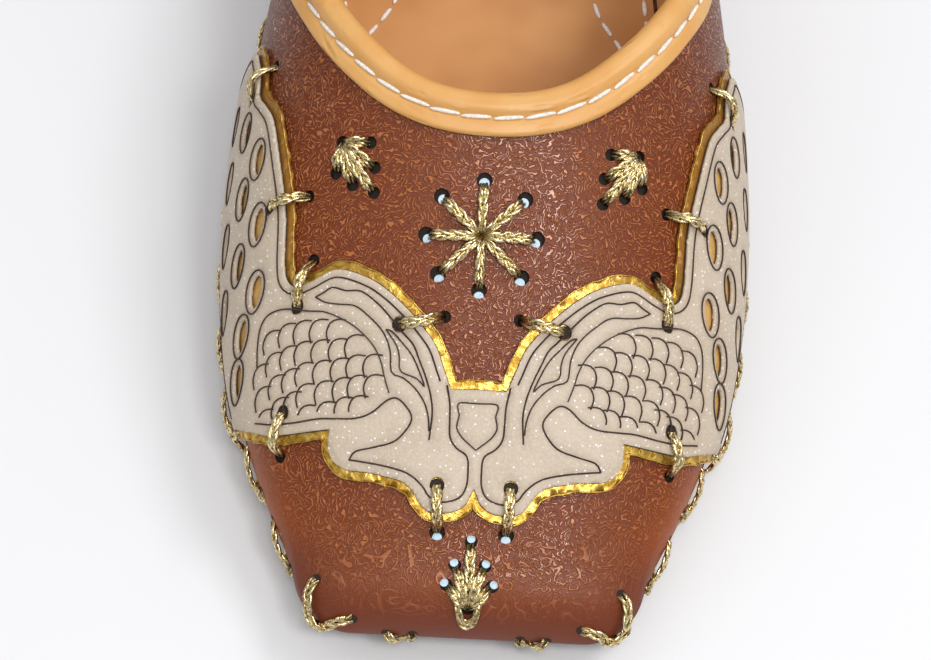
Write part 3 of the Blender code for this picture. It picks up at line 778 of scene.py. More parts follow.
# Meshes
def write_mesh(name, bm, materials, smooth_angle=38.0, millimetres=True):
    """Object of a mesh built in millimetres, riding on the shoe, with its finish."""
    if millimetres:
        bmesh.ops.translate(bm, verts=bm.verts, vec=(0.0, -LENGTH / 2.0, 0.0))
        bmesh.ops.scale(bm, verts=bm.verts, vec=(MM, MM, MM))
    mesh = bpy.data.meshes.new(name)
    bm.to_mesh(mesh)
    bm.free()
    for material in materials:
        mesh.materials.append(material)
    mesh.shade_smooth()
    mesh.set_sharp_from_angle(angle=math.radians(smooth_angle))
    obj = bpy.data.objects.new(name, mesh)
    bpy.context.scene.collection.objects.link(obj)
    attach(obj, "root")
    return obj


def apply_modifiers(obj, smooth_angle=38.0):
    """Make what the modifiers give the object's own mesh."""
    bpy.context.view_layer.update()
    graph = bpy.context.evaluated_depsgraph_get()
    mesh = bpy.data.meshes.new_from_object(obj.evaluated_get(graph))
    obj.modifiers.clear()
    obj.data = mesh
    mesh.shade_smooth()
    mesh.set_sharp_from_angle(angle=math.radians(smooth_angle))


def set_places(bm, points):
    for vert, point in zip(bm.verts, points):
        vert.co = point


def mapped_grid(columns, rows, place):
    """Grid whose vertices are moved by a function of the shares along and across it."""
    bm = bmesh.new()
    bmesh.ops.create_grid(bm, x_segments=columns, y_segments=rows, size=1.0)
    flat = np.array([vert.co[:2] for vert in bm.verts])
    low, high = flat.min(axis=0), flat.max(axis=0)
    share = (flat - low) / (high - low)
    set_places(bm, place(share[:, 0], share[:, 1]))
    return bm


def add_layer(bm, other):
    """Append one mesh to another."""
    mesh = bpy.data.meshes.new("layer")
    other.to_mesh(mesh)
    other.free()
    bm.from_mesh(mesh)
    bpy.data.meshes.remove(mesh)


def set_point_values(obj, name, values):
    """Store one number for each vertex under a name that a material reads."""
    attribute = obj.data.attributes.new(name, "FLOAT", "POINT")
    attribute.data.foreach_set("value", np.asarray(values, np.float32))


def vertex_places(obj):
    """Vertices of an object as x, station and height in millimetres."""
    co = np.empty(len(obj.data.vertices) * 3, np.float32)
    obj.data.vertices.foreach_get("co", co)
    co = co.reshape(-1, 3).astype(float) / MM
    co[:, 1] += LENGTH / 2.0
    return co


def flat_sheet(loops, cell):
    """Flat mesh inside the first loop and outside the others, cut into even squares."""
    bm = bmesh.new()
    for loop in loops:
        verts = [bm.verts.new((p[0], p[1], 0.0)) for p in loop]
        for i, vert in enumerate(verts):
            bm.edges.new((verts[i - 1], vert))
    bmesh.ops.triangle_fill(bm, use_beauty=True, use_dissolve=False, edges=bm.edges[:],
                            normal=(0.0, 0.0, 1.0))
    points = np.vstack(loops)
    for axis in (0, 1):
        low, high = points[:, axis].min(), points[:, axis].max()
        direction = Vector((1.0, 0.0, 0.0)) if axis == 0 else Vector((0.0, 1.0, 0.0))
        count = int((high - low) / cell)
        for k in range(1, count + 1):
            at = low + (k - 0.37) * (high - low) / (count + 0.3)
            geom = bm.verts[:] + bm.edges[:] + bm.faces[:]
            bmesh.ops.bisect_plane(bm, geom=geom, dist=1e-4, plane_co=direction * at,
                                   plane_no=direction)
    return bm


def lay_sheet(bm, lift):
    """Move a flat sheet over the last; the lift is one number or one for each vertex."""
    flat = np.array([vert.co[:2] for vert in bm.verts])
    lift = np.broadcast_to(lift, len(flat))
    set_places(bm, over_last(flat[:, 0], flat[:, 1], lift)[0])


def add_strands(name, strands, radius, sides, material):
    """Round strands along paths, in millimetres, as one mesh object."""
    curve = bpy.data.curves.new(name, "CURVE")
    curve.dimensions = "3D"
    curve.bevel_depth = radius * MM
    curve.bevel_resolution = sides
    curve.use_fill_caps = True
    for path, widths in strands:
        spline = curve.splines.new("POLY")
        spline.points.add(len(path) - 1)
        co = np.ones((len(path), 4))
        co[:, :3] = np.asarray(path)
        co[:, 1] -= LENGTH / 2.0
        co[:, :3] *= MM
        spline.points.foreach_set("co", co.ravel())
        spline.points.foreach_set("radius", np.broadcast_to(widths, len(path)).astype(float))
    holder = bpy.data.objects.new(name, curve)
    bpy.context.scene.collection.objects.link(holder)
    graph = bpy.context.evaluated_depsgraph_get()
    mesh = bpy.data.meshes.new_from_object(holder.evaluated_get(graph))
    bpy.data.objects.remove(holder)
    bm = bmesh.new()
    bm.from_mesh(mesh)
    bmesh.ops.remove_doubles(bm, verts=bm.verts, dist=1e-7)
    bmesh.ops.recalc_face_normals(bm, faces=bm.faces)
    return write_mesh(name, bm, [material], 80.0, millimetres=False)


def braid_offsets(run, twist, radius, gap):
    """Sideways and upward offsets of the four plies of a two-cord braid."""
    plies = []
    for cord in (-1.0, 1.0):
        for ply in (0.0, math.pi):
            turn = cord * 2.0 * math.pi * run / twist + ply + (cord + 1.0) * 0.6
            plies.append((cord * gap + radius * np.cos(turn), radius * np.sin(turn)))
    return plies


def flat_braid(places, lifts, widths, step=0.28):
    """The four plies of a braid over flat places, at the lifts and shares of width given."""
    places = np.asarray(places, float)
    gaps = np.linalg.norm(np.diff(places, axis=0), axis=1)
    run = np.concatenate(((0.0,), np.cumsum(np.maximum(gaps, 0.05))))
    count = max(6, int(run[-1] / step))
    at = np.linspace(0.0, run[-1], count)
    side = np.interp(at, run, places[:, 0])
    station = np.interp(at, run, places[:, 1])
    lift = np.interp(at, run, lifts)
    kernel = np.array((1.0, 2.0, 3.0, 2.0, 1.0)) / 9.0
    lift = np.convolve(np.pad(lift, 2, mode="edge"), kernel, mode="valid")
    width = np.interp(at, run, widths)
    across = np.stack((-np.gradient(station), np.gradient(side)), axis=-1)
    across /= np.maximum(np.linalg.norm(across, axis=-1, keepdims=True), 1e-9)
    strands = []
    for out, rise in braid_offsets(at, PLY_TWIST, 0.26 * width, CORD_GAP * width):
        path = over_last(side + across[:, 0] * out, station + across[:, 1] * out, lift + rise)[0]
        strands.append((path, 0.45 + 0.55 * width))
    return strands


def paint_shade_near(obj, points, reach):
    """Mark what lies near given points, where a thread is coloured darker as painted shade: in its
    holes and at its knots.
    """
    co = vertex_places(obj)
    near = np.full(len(co), 1e9)
    for point in points:
        near = np.minimum(near, np.linalg.norm(co - point, axis=1))
    set_point_values(obj, "dark", np.exp(-((near / reach) ** 2)))


def flat_tools(holes, depth, radius):
    """Short round cutters that punch the upper from outside, one for each flat place."""
    bm = bmesh.new()
    places = np.array([(h.side, h.station) for h in holes])
    points, normals = over_last(places[:, 0], places[:, 1], np.zeros(len(places)))
    for point, normal in zip(points, normals):
        add_tool(bm, point, normal, depth, radius)
    return bm


def add_tool(bm, point, normal, depth, radius, above=1.5, sides=14):
    middle = Vector(point) + Vector(normal) * (above - depth) / 2.0
    turn = Vector(normal).to_track_quat("Z", "Y").to_matrix().to_4x4()
    bmesh.ops.create_cone(bm, cap_ends=True, cap_tris=False, segments=sides, radius1=radius,
                          radius2=radius, depth=above + depth,
                          matrix=Matrix.Translation(middle) @ turn)


# Materials
def linear(code):
    """Linear colour of an sRGB hex value."""
    parts = [int(code[i:i + 2], 16) / 255.0 for i in (0, 2, 4)]
    return tuple(c / 12.92 if c <= 0.04045 else ((c + 0.055) / 1.055) ** 2.4 for c in parts)


def add_node(tree, kind, inputs=(), **settings):
    """Add a node, set it, and give each listed socket a value or a link."""
    node = tree.nodes.new(kind)
    for name, value in settings.items():
        setattr(node, name, value)
    for socket, value in dict(inputs).items():
        if isinstance(value, bpy.types.NodeSocket):
            tree.links.new(value, node.inputs[socket])
        else:
            node.inputs[socket].default_value = value
    return node


def new_material(name, base, roughness, metallic=0.0, ior=1.5):
    """Principled material with constant values on its own sockets."""
    material = bpy.data.materials.new(name)
    material.use_nodes = True
    shader = material.node_tree.nodes["Principled BSDF"]
    shader.inputs["Base Color"].default_value = (*base, 1.0)
    shader.inputs["Roughness"].default_value = roughness
    shader.inputs["Metallic"].default_value = metallic
    if metallic < 1.0:
        shader.inputs["IOR"].default_value = ior
    return material, material.node_tree, shader


def noise(tree, size, detail=2.0, distortion=0.0, offset=(0.0, 0.0, 0.0)):
    """Noise over the shoe's own coordinates whose features are as large as the size in mm."""
    place = add_node(tree, "ShaderNodeTexCoord").outputs["Object"]
    place = add_node(tree, "ShaderNodeMapping", {"Vector": place, "Location": offset}).outputs[0]
    return add_node(tree, "ShaderNodeTexNoise", {
        "Vector": place, "Scale": 1.0 / (size * MM), "Detail": detail, "Distortion": distortion,
    }).outputs["Fac"]


def levels(tree, value, low, high, out_low=0.0, out_high=1.0):
    return add_node(tree, "ShaderNodeMapRange", {
        "Value": value, "From Min": low, "From Max": high, "To Min": out_low, "To Max": out_high,
    }, interpolation_type="SMOOTHSTEP").outputs["Result"]


def maths(tree, operation, first, second=0.5):
    return add_node(tree, "ShaderNodeMath", {0: first, 1: second}, operation=operation).outputs[0]


def mixed(tree, share, first, second):
    """Colour between two colours; each is a linear colour or a socket."""
    first = first if isinstance(first, bpy.types.NodeSocket) else (*first, 1.0)
    second = second if isinstance(second, bpy.types.NodeSocket) else (*second, 1.0)
    return add_node(tree, "ShaderNodeMix", {0: share, 6: first, 7: second},
                    data_type="RGBA").outputs[2]


def bumped(tree, shader, layers):
    """Chain bumps, each a height and its depth in mm, into the shader's normal."""
    normal = None
    for height, depth in layers:
        inputs = {"Height": height, "Distance": depth * MM, "Strength": 1.0}
        if normal is not None:
            inputs["Normal"] = normal
        normal = add_node(tree, "ShaderNodeBump", inputs).outputs[0]
    tree.links.new(normal, shader.inputs["Normal"])


def point_value(tree, name):
    return add_node(tree, "ShaderNodeAttribute", attribute_name=name).outputs["Fac"]


def worm_strokes(tree, pitch):
    """Short bent strokes that lie side by side, turned another way in each small patch."""
    place = add_node(tree, "ShaderNodeTexCoord").outputs["Object"]
    scaled = add_node(tree, "ShaderNodeVectorMath", {0: place, "Scale": 1.0 / MM},
                      operation="SCALE").outputs[0]
    sway = add_node(tree, "ShaderNodeTexNoise", {"Vector": scaled, "Scale": 0.55, "Detail": 1.0})
    sway = add_node(tree, "ShaderNodeVectorMath",
                    {0: sway.outputs["Color"], 1: (2.4, 2.4, 2.4), 2: scaled},
                    operation="MULTIPLY_ADD").outputs[0]
    patch = add_node(tree, "ShaderNodeTexVoronoi", {"Vector": sway, "Scale": 0.62 / (2.2 * pitch)})
    chance = add_node(tree, "ShaderNodeSeparateXYZ", {0: patch.outputs["Color"]})
    turn = maths(tree, "MULTIPLY", chance.outputs[0], 2.0 * math.pi)
    axes = add_node(tree, "ShaderNodeSeparateXYZ", {0: sway})
    along = maths(tree, "MULTIPLY", axes.outputs[0], maths(tree, "COSINE", turn))
    across = maths(tree, "MULTIPLY", axes.outputs[1], maths(tree, "SINE", turn))
    phase = maths(tree, "MULTIPLY", maths(tree, "ADD", along, across), 2.0 * math.pi / pitch)
    bend = add_node(tree, "ShaderNodeTexNoise", {"Vector": scaled, "Scale": 1.0, "Detail": 0.0})
    bend = maths(tree, "MULTIPLY", bend.outputs["Fac"], 7.0)
    wave = maths(tree, "SINE", maths(tree, "ADD", phase, bend))
    stroke = levels(tree, wave, -0.15, 0.75)
    cut = add_node(tree, "ShaderNodeTexNoise", {"Vector": scaled, "Scale": 1.25, "Detail": 1.0})
    return maths(tree, "MULTIPLY", stroke, levels(tree, cut.outputs["Fac"], 0.34, 0.50))


def embossed_leather(colours, sizes):
    """Vegetable-tanned cowhide, dyed chestnut and plate-embossed with a curling maze.
    The strokes stand up and catch the light, the side walls and the toe's front are smooth."""
    material, tree, shader = new_material("embossed_chestnut_leather", colours.leather, 0.4,
                                          ior=1.42)
    stroke = worm_strokes(tree, sizes.grain_pitch / MM)
    stroke = maths(tree, "MULTIPLY", stroke, point_value(tree, "grain"))
    loops = maths(tree, "PINGPONG", maths(tree, "MULTIPLY", noise(tree, 5.0, 1.0, 0.5), 9.0), 0.5)
    loops = maths(tree, "MULTIPLY", levels(tree, loops, 0.34, 0.47), point_value(tree, "loops"))
    stroke = maths(tree, "MAXIMUM", stroke, loops)
    cloud = noise(tree, 16.0, 2.0)
    pores = noise(tree, 0.35, 2.0)
    base = mixed(tree, levels(tree, cloud, 0.35, 0.68), colours.leather, colours.leather_light)
    base = mixed(tree, point_value(tree, "warm"), base, colours.leather_warm)
    # Painted shade at the back of the upper and on the toe's lower front wall
    base = mixed(tree, point_value(tree, "deep"), base, colours.leather_painted_shade)
    # Painted shade in the hollows between the strokes, and a painted highlight on the strokes' tops
    hollow = maths(tree, "MULTIPLY", maths(tree, "SUBTRACT", 1.0, stroke),
                   point_value(tree, "grain"))
    base = mixed(tree, maths(tree, "MULTIPLY", hollow, 0.72), base, colours.leather_hollow_shade)
    base = mixed(tree, maths(tree, "MULTIPLY", stroke, 0.52), base, colours.grain)
    tree.links.new(base, shader.inputs["Base Color"])
    tree.links.new(levels(tree, stroke, 0.0, 1.0, 0.48, 0.20), shader.inputs["Roughness"])
    bumped(tree, shader, ((stroke, 0.28), (pores, 0.012)))
    return material


def lining_leather(colours):
    """Thin sheepskin lining, tan, with a faint even grain."""
    material, tree, shader = new_material("tan_lining_leather", colours.lining, 0.52)
    cloud = noise(tree, 22.0, 2.0)
    base = mixed(tree, levels(tree, cloud, 0.3, 0.7), colours.lining, colours.lining_shade)
    tree.links.new(base, shader.inputs["Base Color"])
    bumped(tree, shader, ((noise(tree, 0.8, 3.0), 0.03),))
    return material


def binding_leather(colours):
    """Smooth honey calf leather, folded, with fine wrinkles along the fold; its painted shade beside
    the stitches is read from a mark that the binding leaves at none.
    """
    material, tree, shader = new_material("honey_binding_leather", colours.binding, 0.42)
    cloud = noise(tree, 9.0, 3.0)
    base = mixed(tree, levels(tree, cloud, 0.32, 0.7), colours.binding, colours.binding_light)
    base = mixed(tree, point_value(tree, "shade"), base, colours.binding_shade)
    tree.links.new(base, shader.inputs["Base Color"])
    wave = maths(tree, "SINE", maths(tree, "MULTIPLY", point_value(tree, "across"), 7.0))
    wrinkle = maths(tree, "MULTIPLY", wave, levels(tree, noise(tree, 5.0, 2.0), 0.5, 0.75))
    bumped(tree, shader, ((wrinkle, 0.12), (noise(tree, 0.6, 3.0), 0.03)))
    return material


def glitter_leather(colours):
    """Cream leather under a clear coat with mica flakes, painted near white as standing glints on a
    soft warm grey.
    """
    material, tree, shader = new_material("cream_glitter_leather", colours.cream, 0.5)
    place = add_node(tree, "ShaderNodeTexCoord").outputs["Object"]
    cells = add_node(tree, "ShaderNodeTexVoronoi", {"Vector": place, "Scale": 1.0 / (1.0 * MM)})
    flake_glint = levels(tree, cells.outputs["Distance"], 0.25, 0.08)
    chosen = levels(tree, noise(tree, 1.1, 0.0, 0.0, (0.7, 0.2, 0.4)), 0.32, 0.46)
    flake_glint = maths(tree, "MULTIPLY", flake_glint, chosen)
    cloud = noise(tree, 7.0, 3.0)
    base = mixed(tree, levels(tree, cloud, 0.35, 0.7), colours.cream, colours.cream_shade)
    fine = levels(tree, noise(tree, 0.45, 2.0), 0.35, 0.7)
    base = mixed(tree, maths(tree, "MULTIPLY", fine, 0.35), base, colours.cream_light)
    base = mixed(tree, point_value(tree, "groove"), base, colours.cream_groove)
    base = mixed(tree, flake_glint, base, colours.flake_glint)
    tree.links.new(base, shader.inputs["Base Color"])
    tree.links.new(levels(tree, flake_glint, 0.0, 1.0, 0.52, 0.25), shader.inputs["Roughness"])
    bumped(tree, shader, ((flake_glint, 0.05), (noise(tree, 0.5, 3.0), 0.04)))
    return material


def engraving(colours):
    """Burnt line of the engraving tool: matt dark brown."""
    material, tree, shader = new_material("burnt_engraving", colours.engraving, 0.7)
    share = levels(tree, noise(tree, 1.6, 2.0), 0.35, 0.7)
    tree.links.new(mixed(tree, share, colours.engraving, colours.engraving_light),
                   shader.inputs["Base Color"])
    return material


def gold_foil(colours):
    """Gold foil pressed on thin leather: a crinkled warm metal, with a painted highlight on its high
    spots and painted shade in its folds.
    """
    material, tree, shader = new_material("crinkled_gold_foil", colours.foil, 0.3, 0.8)
    crinkle = noise(tree, 1.7, 4.0, 0.8)
    base = mixed(tree, levels(tree, crinkle, 0.35, 0.65), colours.foil_shade, colours.foil)
    # Painted shade: the foil along the tails is coloured brown
    base = mixed(tree, point_value(tree, "shade"), base, colours.foil_painted_shade)
    # Painted light: the foil in the eyes is paler and matt, to stay bright in their shade
    pale = point_value(tree, "pale")
    base = mixed(tree, pale, base, colours.foil_painted_light)
    dull = maths(tree, "MAXIMUM", point_value(tree, "shade"), maths(tree, "MULTIPLY", pale, 1.2))
    tree.links.new(levels(tree, dull, 0.0, 1.0, 0.85, 0.2), shader.inputs["Metallic"])
    tree.links.new(base, shader.inputs["Base Color"])
    tree.links.new(levels(tree, crinkle, 0.3, 0.7, 0.45, 0.26), shader.inputs["Roughness"])
    bumped(tree, shader, ((crinkle, 0.22), (noise(tree, 0.5, 2.0), 0.03)))
    return material


def metal_braid(colours):
    """Polyester braid wrapped in champagne metal strip: bright plies, dark between them."""
    material, tree, shader = new_material("champagne_metal_braid", colours.braid, 0.3, 1.0)
    flecks = noise(tree, 0.55, 1.5, 0.6)
    base = mixed(tree, levels(tree, flecks, 0.34, 0.54), colours.braid_shade, colours.braid)
    # Painted shade where the braid goes into its holes and at its knots
    base = mixed(tree, maths(tree, "MULTIPLY", point_value(tree, "dark"), 0.85), base,
                 colours.braid_painted_shade)
    tree.links.new(base, shader.inputs["Base Color"])
    tree.links.new(levels(tree, flecks, 0.3, 0.7, 0.38, 0.22), shader.inputs["Roughness"])
    bumped(tree, shader, ((flecks, 0.06),))
    return material


def waxed_thread(colours):
    """Waxed linen thread, off-white, its twist seen as a fine uneven surface."""
    material, tree, shader = new_material("waxed_white_thread", colours.thread, 0.55)
    share = levels(tree, noise(tree, 0.5, 2.0), 0.35, 0.7)
    tree.links.new(mixed(tree, share, colours.thread, colours.thread_shade),
                   shader.inputs["Base Color"])
    bumped(tree, shader, ((noise(tree, 0.3, 2.0), 0.05),))
    return material


def sole_leather(name, base_colour, shade_colour):
    """Oak-bark sole leather, its edge burnished: layered streaks that run level."""
    material, tree, shader = new_material(name, base_colour, 0.5)
    place = add_node(tree, "ShaderNodeTexCoord").outputs["Object"]
    place = add_node(tree, "ShaderNodeMapping", {"Vector": place, "Scale": (1.0, 1.0, 9.0)})
    streak = add_node(tree, "ShaderNodeTexNoise", {
        "Vector": place.outputs[0], "Scale": 1.0 / (5.0 * MM), "Detail": 4.0}).outputs["Fac"]
    share = levels(tree, streak, 0.36, 0.66)
    tree.links.new(mixed(tree, share, base_colour, shade_colour), shader.inputs["Base Color"])
    tree.links.new(levels(tree, streak, 0.3, 0.7, 0.42, 0.62), shader.inputs["Roughness"])
    bumped(tree, shader, ((streak, 0.08), (noise(tree, 0.7, 3.0), 0.05)))
    return material


def punched_edge(colours):
    """Cut wall of a punched hole, and the dark plugs set in holes: near black, painted shade."""
    material, tree, shader = new_material("hole_wall_painted_shade", colours.hole, 0.8)
    tree.links.new(mixed(tree, noise(tree, 0.6, 2.0), colours.hole, colours.engraving),
                   shader.inputs["Base Color"])
    return material


def hole_floor_light(colours):
    """Bluish white floor of a punched hole: painted light on the lit side of its bottom."""
    material, tree, shader = new_material("painted_hole_floor_light", colours.hole_floor_light, 0.75)
    share = levels(tree, noise(tree, 0.5, 1.0), 0.3, 0.7)
    tree.links.new(mixed(tree, share, colours.hole_floor_light, colours.hole_floor_light_tone),
                   shader.inputs["Base Color"])
    return material


def studio_paper():
    """Matt white studio paper."""
    material, tree, shader = new_material("matt_studio_paper", linear("E5E5E6"), 0.9)
    tree.links.new(mixed(tree, noise(tree, 60.0, 2.0), linear("E6E6E7"), linear("E3E3E5")),
                   shader.inputs["Base Color"])
    return material


def colour(label, code, about):
    return FloatVectorProperty(name=label, description=about, default=linear(code), size=3,
                               min=0.0, max=1.0, subtype="COLOR")


def size(label, default, low, high, about):
    """Length given in millimetres and kept in metres, so that the panel shows its unit."""
    return FloatProperty(name=label, description=about, default=default * MM, min=low * MM,
                         max=high * MM, subtype="DISTANCE", precision=5)


class ShoeSizes(bpy.types.PropertyGroup):
    """Sizes that a user would change."""
    grain_pitch: size("Grain pitch", 0.6, 0.3, 3.0, "Distance between strokes of the embossed maze")
    hole_width: size("Hole width", 2.7, 1.0, 4.0, "Diameter of the punched holes")
    ply_radius: size("Ply radius", 0.34, 0.1, 0.8, "Radius of one ply of the metallic braid")
    line_width: size("Line width", 0.31, 0.1, 1.0, "Width of an engraved line")
    stitch_length: size("Stitch length", 5.0, 1.0, 8.0, "Length of a white stitch of the collar")
    stitch_width: size("Stitch width", 0.76, 0.3, 2.0, "Thickness of a white stitch")
    edge_groups: IntProperty(name="Edge stitches", default=46, min=8, max=120,
                             description="Crossed stitches around the sole's edge")


class ShoeColours(bpy.types.PropertyGroup):
    """Colours that a user would change."""
    leather: colour("Leather", "94420A", "Chestnut upper")
    leather_light: colour("Leather light", "984816", "Lighter clouds of the upper")
    leather_warm: colour("Leather warm", "96480F", "Waxed toe and side walls")
    # Painted shade of the upper, at its back and on the toe's lower front
    leather_painted_shade: colour("Leather deep", "6A2E18", "Back and shaded parts of the upper")
    # Painted shade in the hollows and a painted highlight on the tops of the strokes
    leather_hollow_shade: colour("Leather hollow", "5E2408", "Hollows between the strokes")
    grain: colour("Grain", "C27C4C", "Top of the embossed strokes")
    lining: colour("Lining", "CF955A", "Lining and footbed")
    lining_shade: colour("Lining shade", "B97C44", "Darker clouds of the lining")
    binding: colour("Binding", "D79D56", "Collar binding")
    binding_light: colour("Binding light", "DBA763", "Lighter clouds of the binding")
    binding_shade: colour("Binding shade", "A96F38", "Binding beside its stitches and edge")
    cream: colour("Cream", "C4B29D", "Overlay leather")
    cream_shade: colour("Cream shade", "BCAA94", "Darker clouds of the overlay")
    cream_light: colour("Cream light", "D8CBBA", "Fine bright grain of the overlay")
    cream_groove: colour("Cream groove", "937F6B", "Overlay beside its engraved lines")
    # Mica flakes, painted near white as standing glints
    flake_glint: colour("Flake", "F8F2EA", "Glitter flakes")
    engraving: colour("Engraving", "2E1E16", "Engraved lines")
    engraving_light: colour("Engraving light", "463226", "Lighter parts of the lines")
    foil: colour("Foil", "DDB75A", "Gold foil")
    # Painted shade in the folds of the foil
    foil_shade: colour("Foil shade", "A67C2C", "Folds of the gold foil")
    # Painted shade: the foil along the tails is coloured brown, as it looks in shade
    foil_painted_shade: colour("Foil brown", "9A6423", "Rubbed foil along the tails")
    # Painted light: the foil in the eyes, paler than it looks in their shade
    foil_painted_light: colour("Foil pale", "DDB06A", "Rubbed foil in the eyes of the tails")
    braid: colour("Braid", "F0DFAE", "Metallic braid")
    braid_shade: colour("Braid shade", "967840", "Metallic braid between its flecks")
    # Painted shade of the braid in its holes and knots
    braid_painted_shade: colour("Braid dark", "5C4417", "Metallic braid in its holes and knots")
    thread: colour("Thread", "F3EEE6", "White stitches")
    thread_shade: colour("Thread shade", "D8D0C6", "Twist of the white stitches")
    sole: colour("Sole", "7A4E2B", "Outsole leather")
    sole_shade: colour("Sole shade", "5C371D", "Streaks of the outsole leather")
    heel: colour("Heel", "6A3F22", "Heel leather")
    heel_shade: colour("Heel shade", "4A2A17", "Streaks of the heel leather")
    # Painted shade: near black in the punched holes
    hole: colour("Hole", "20150F", "Wall of the punched holes")
    # Painted light: the pale floor on the lit side of a hole
    hole_floor_light: colour("Interlining", "D6E8F2", "Cotton seen in the holes")
    hole_floor_light_tone: colour("Interlining shade", "BCD6E6", "Weave of that cotton")


def both_halves(rows, shift=0.0):
    """Places of both halves, those on the middle line once."""
    turned = [PlaceRow(-row.side, row.station) for row in rows if row.side > 0.0]
    return [PlaceRow(row.side + shift, row.station) for row in list(rows) + turned]


def wide_holes():
    """Punched holes of the star and of the two front stitches."""
    front = WHIPS[-1]
    front_hole = [PlaceRow(front.far_side, front.far_station)]
    return both_halves(STAR_HOLES, STAR_SHIFT) + both_halves(front_hole)


def narrow_holes():
    """Punched holes of the fans and of the other stitches."""
    rest = list(FAN_HOLES) + [FAN_HUB] + list(TOE_HOLES) + [TOE_HUB]
    rest += [PlaceRow(w.far_side, w.far_station) for w in WHIPS[:-1]]
    return both_halves(rest)


def overlay_outline_both():
    """Cut edge of the overlay, the whole of it, as one run of flat places."""
    half = np.array(half_outline())
    turned = half[::-1] * (-1.0, 1.0)
    return np.vstack((half, turned))


def floor_places():
    """Where the pale floor of painted light shows in a hole: its place, the way to the lit side and
    its size.
    """
    shown = []
    for hole in both_halves(STAR_HOLES, STAR_SHIFT):
        inward = unit(np.array((STAR_SHIFT - hole.side, STAR_HUB.station - hole.station)))
        way = (STAR_FLOOR_IN * inward[0], -STAR_FLOOR_FRONT - STAR_FLOOR_BACK * inward[1])
        shown.append((hole, way, STAR_FLOOR_SIZE))
    for hole in both_halves(TOE_HOLES):
        outward = unit(np.array((hole.side, hole.station - TOE_HUB.station)))
        shown.append((hole, tuple(TOE_FLOOR_OUT * outward), TOE_FLOOR_SIZE))
    front = WHIPS[-1]
    for hole in both_halves([PlaceRow(front.far_side, front.far_station)]):
        shown.append((hole, (0.0, -WHIP_FLOOR_FRONT), WHIP_FLOOR_SIZE))
    return shown


def crease_depth(side, station):
    """How far the worn creases lower the upper at flat places."""
    depth = np.zeros(len(side))
    for row in CREASES:
        turn = math.radians(row.turn)
        x, y = side - row.side, station - row.station
        along = (x * math.cos(turn) + y * math.sin(turn)) / row.length
        across = (y * math.cos(turn) - x * math.sin(turn)
                  + 0.12 * row.length * along**2) / row.width
        depth += row.depth * np.exp(-(along**4)) * np.exp(-(across**2))
    return depth


def upper_surface(u, v):
    """Outer face of the upper over the shares around and up, creased at the toe."""
    around = spread_around(2.0 * u - 1.0) % 1.0
    skirt_share = SKIRT_ROWS / (SKIRT_ROWS + UPPER_ROWS)
    up = np.where(v < skirt_share, v / skirt_share - 1.0,
                  ((v - skirt_share) / (1.0 - skirt_share)).clip(0.0, 1.0) ** 1.15)
    path, angle = on_dome(around, up)
    side, station = flat_place(path, angle)
    side = np.where(around > 0.5, -side, side)
    depth = np.where(up > 0.0, crease_depth(side, station), 0.0)
    return at_depth(around, up, depth)


def close_back(bm):
    bmesh.ops.remove_doubles(bm, verts=bm.verts, dist=0.01)
    bmesh.ops.recalc_face_normals(bm, faces=bm.faces)


class SHOE_OT_upper(bpy.types.Operator):
    """Build the hollow upper with its wall, lining, creases and punched holes"""
    bl_idname = "shoe.build_upper"
    bl_label = "Upper"

    def execute(self, context):
        sizes, colours = context.scene.shoe_sizes, context.scene.shoe_colours
        hole_width = sizes.hole_width / MM
        bm = mapped_grid(UPPER_COLUMNS, UPPER_ROWS + SKIRT_ROWS, upper_surface)
        close_back(bm)
        materials = [embossed_leather(colours, sizes), lining_leather(colours),
                     punched_edge(colours)]
        upper = write_mesh("upper", bm, materials)
        wall_modifier = upper.modifiers.new("Wall", "SOLIDIFY")
        wall_modifier.thickness = WALL * MM
        wall_modifier.offset = -1.0
        wall_modifier.use_even_offset = True
        wall_modifier.material_offset = 1
        tools = flat_tools(wide_holes(), HOLE_DEPTH, hole_width / 2.0)
        add_layer(tools, flat_tools(narrow_holes(), HOLE_DEPTH, hole_width * 0.40))
        knot = [PlaceRow(STAR_SHIFT, STAR_HUB.station)]
        add_layer(tools, flat_tools(knot, HOLE_DEPTH, hole_width * 0.25))
        for face in tools.faces:
            face.material_index = 2
        cutter = write_mesh("hole_punches", tools, materials)
        punch = upper.modifiers.new("Holes", "BOOLEAN")
        punch.operation = "DIFFERENCE"
        punch.solver = "EXACT"
        punch.object = cutter
        apply_modifiers(upper)
        bpy.data.objects.remove(cutter)
        co = vertex_places(upper)
        belly = column(LAST, "belly", co[:, 1])
        rise = co[:, 2] - belly
        away_from_toe = within(GRAIN_BACK, co[:, 1])
        smooth = 1.0 - within(GRAIN_UP, rise) * (0.35 + 0.65 * away_from_toe)
        set_point_values(upper, "grain", np.clip(1.0 - smooth * 1.05, 0.0, 1.0))
        warm = np.maximum(smooth * 0.8, 0.75 * (1.0 - within(WAX_GOES, co[:, 1])))
        set_point_values(upper, "warm", warm)
        loops = within(LOOPS_UP, rise) * (1.0 - within(LOOPS_GO, co[:, 1]))
        set_point_values(upper, "loops", 0.8 * loops)
        # Painted shade: the back of the upper and the lower front wall of the toe are coloured
        # darker, as they look in shade
        deep = 0.85 * within(SHADE_BACK, co[:, 1])
        foot = 1.0 - within(TOE_SHADE_GOES_UP, rise)
        foot *= 1.0 - within(TOE_SHADE_GOES_BACK, co[:, 1])
        deep = np.maximum(deep, 0.9 * foot)
        set_point_values(upper, "deep", deep)
        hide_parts("upper")
        return {"FINISHED"}


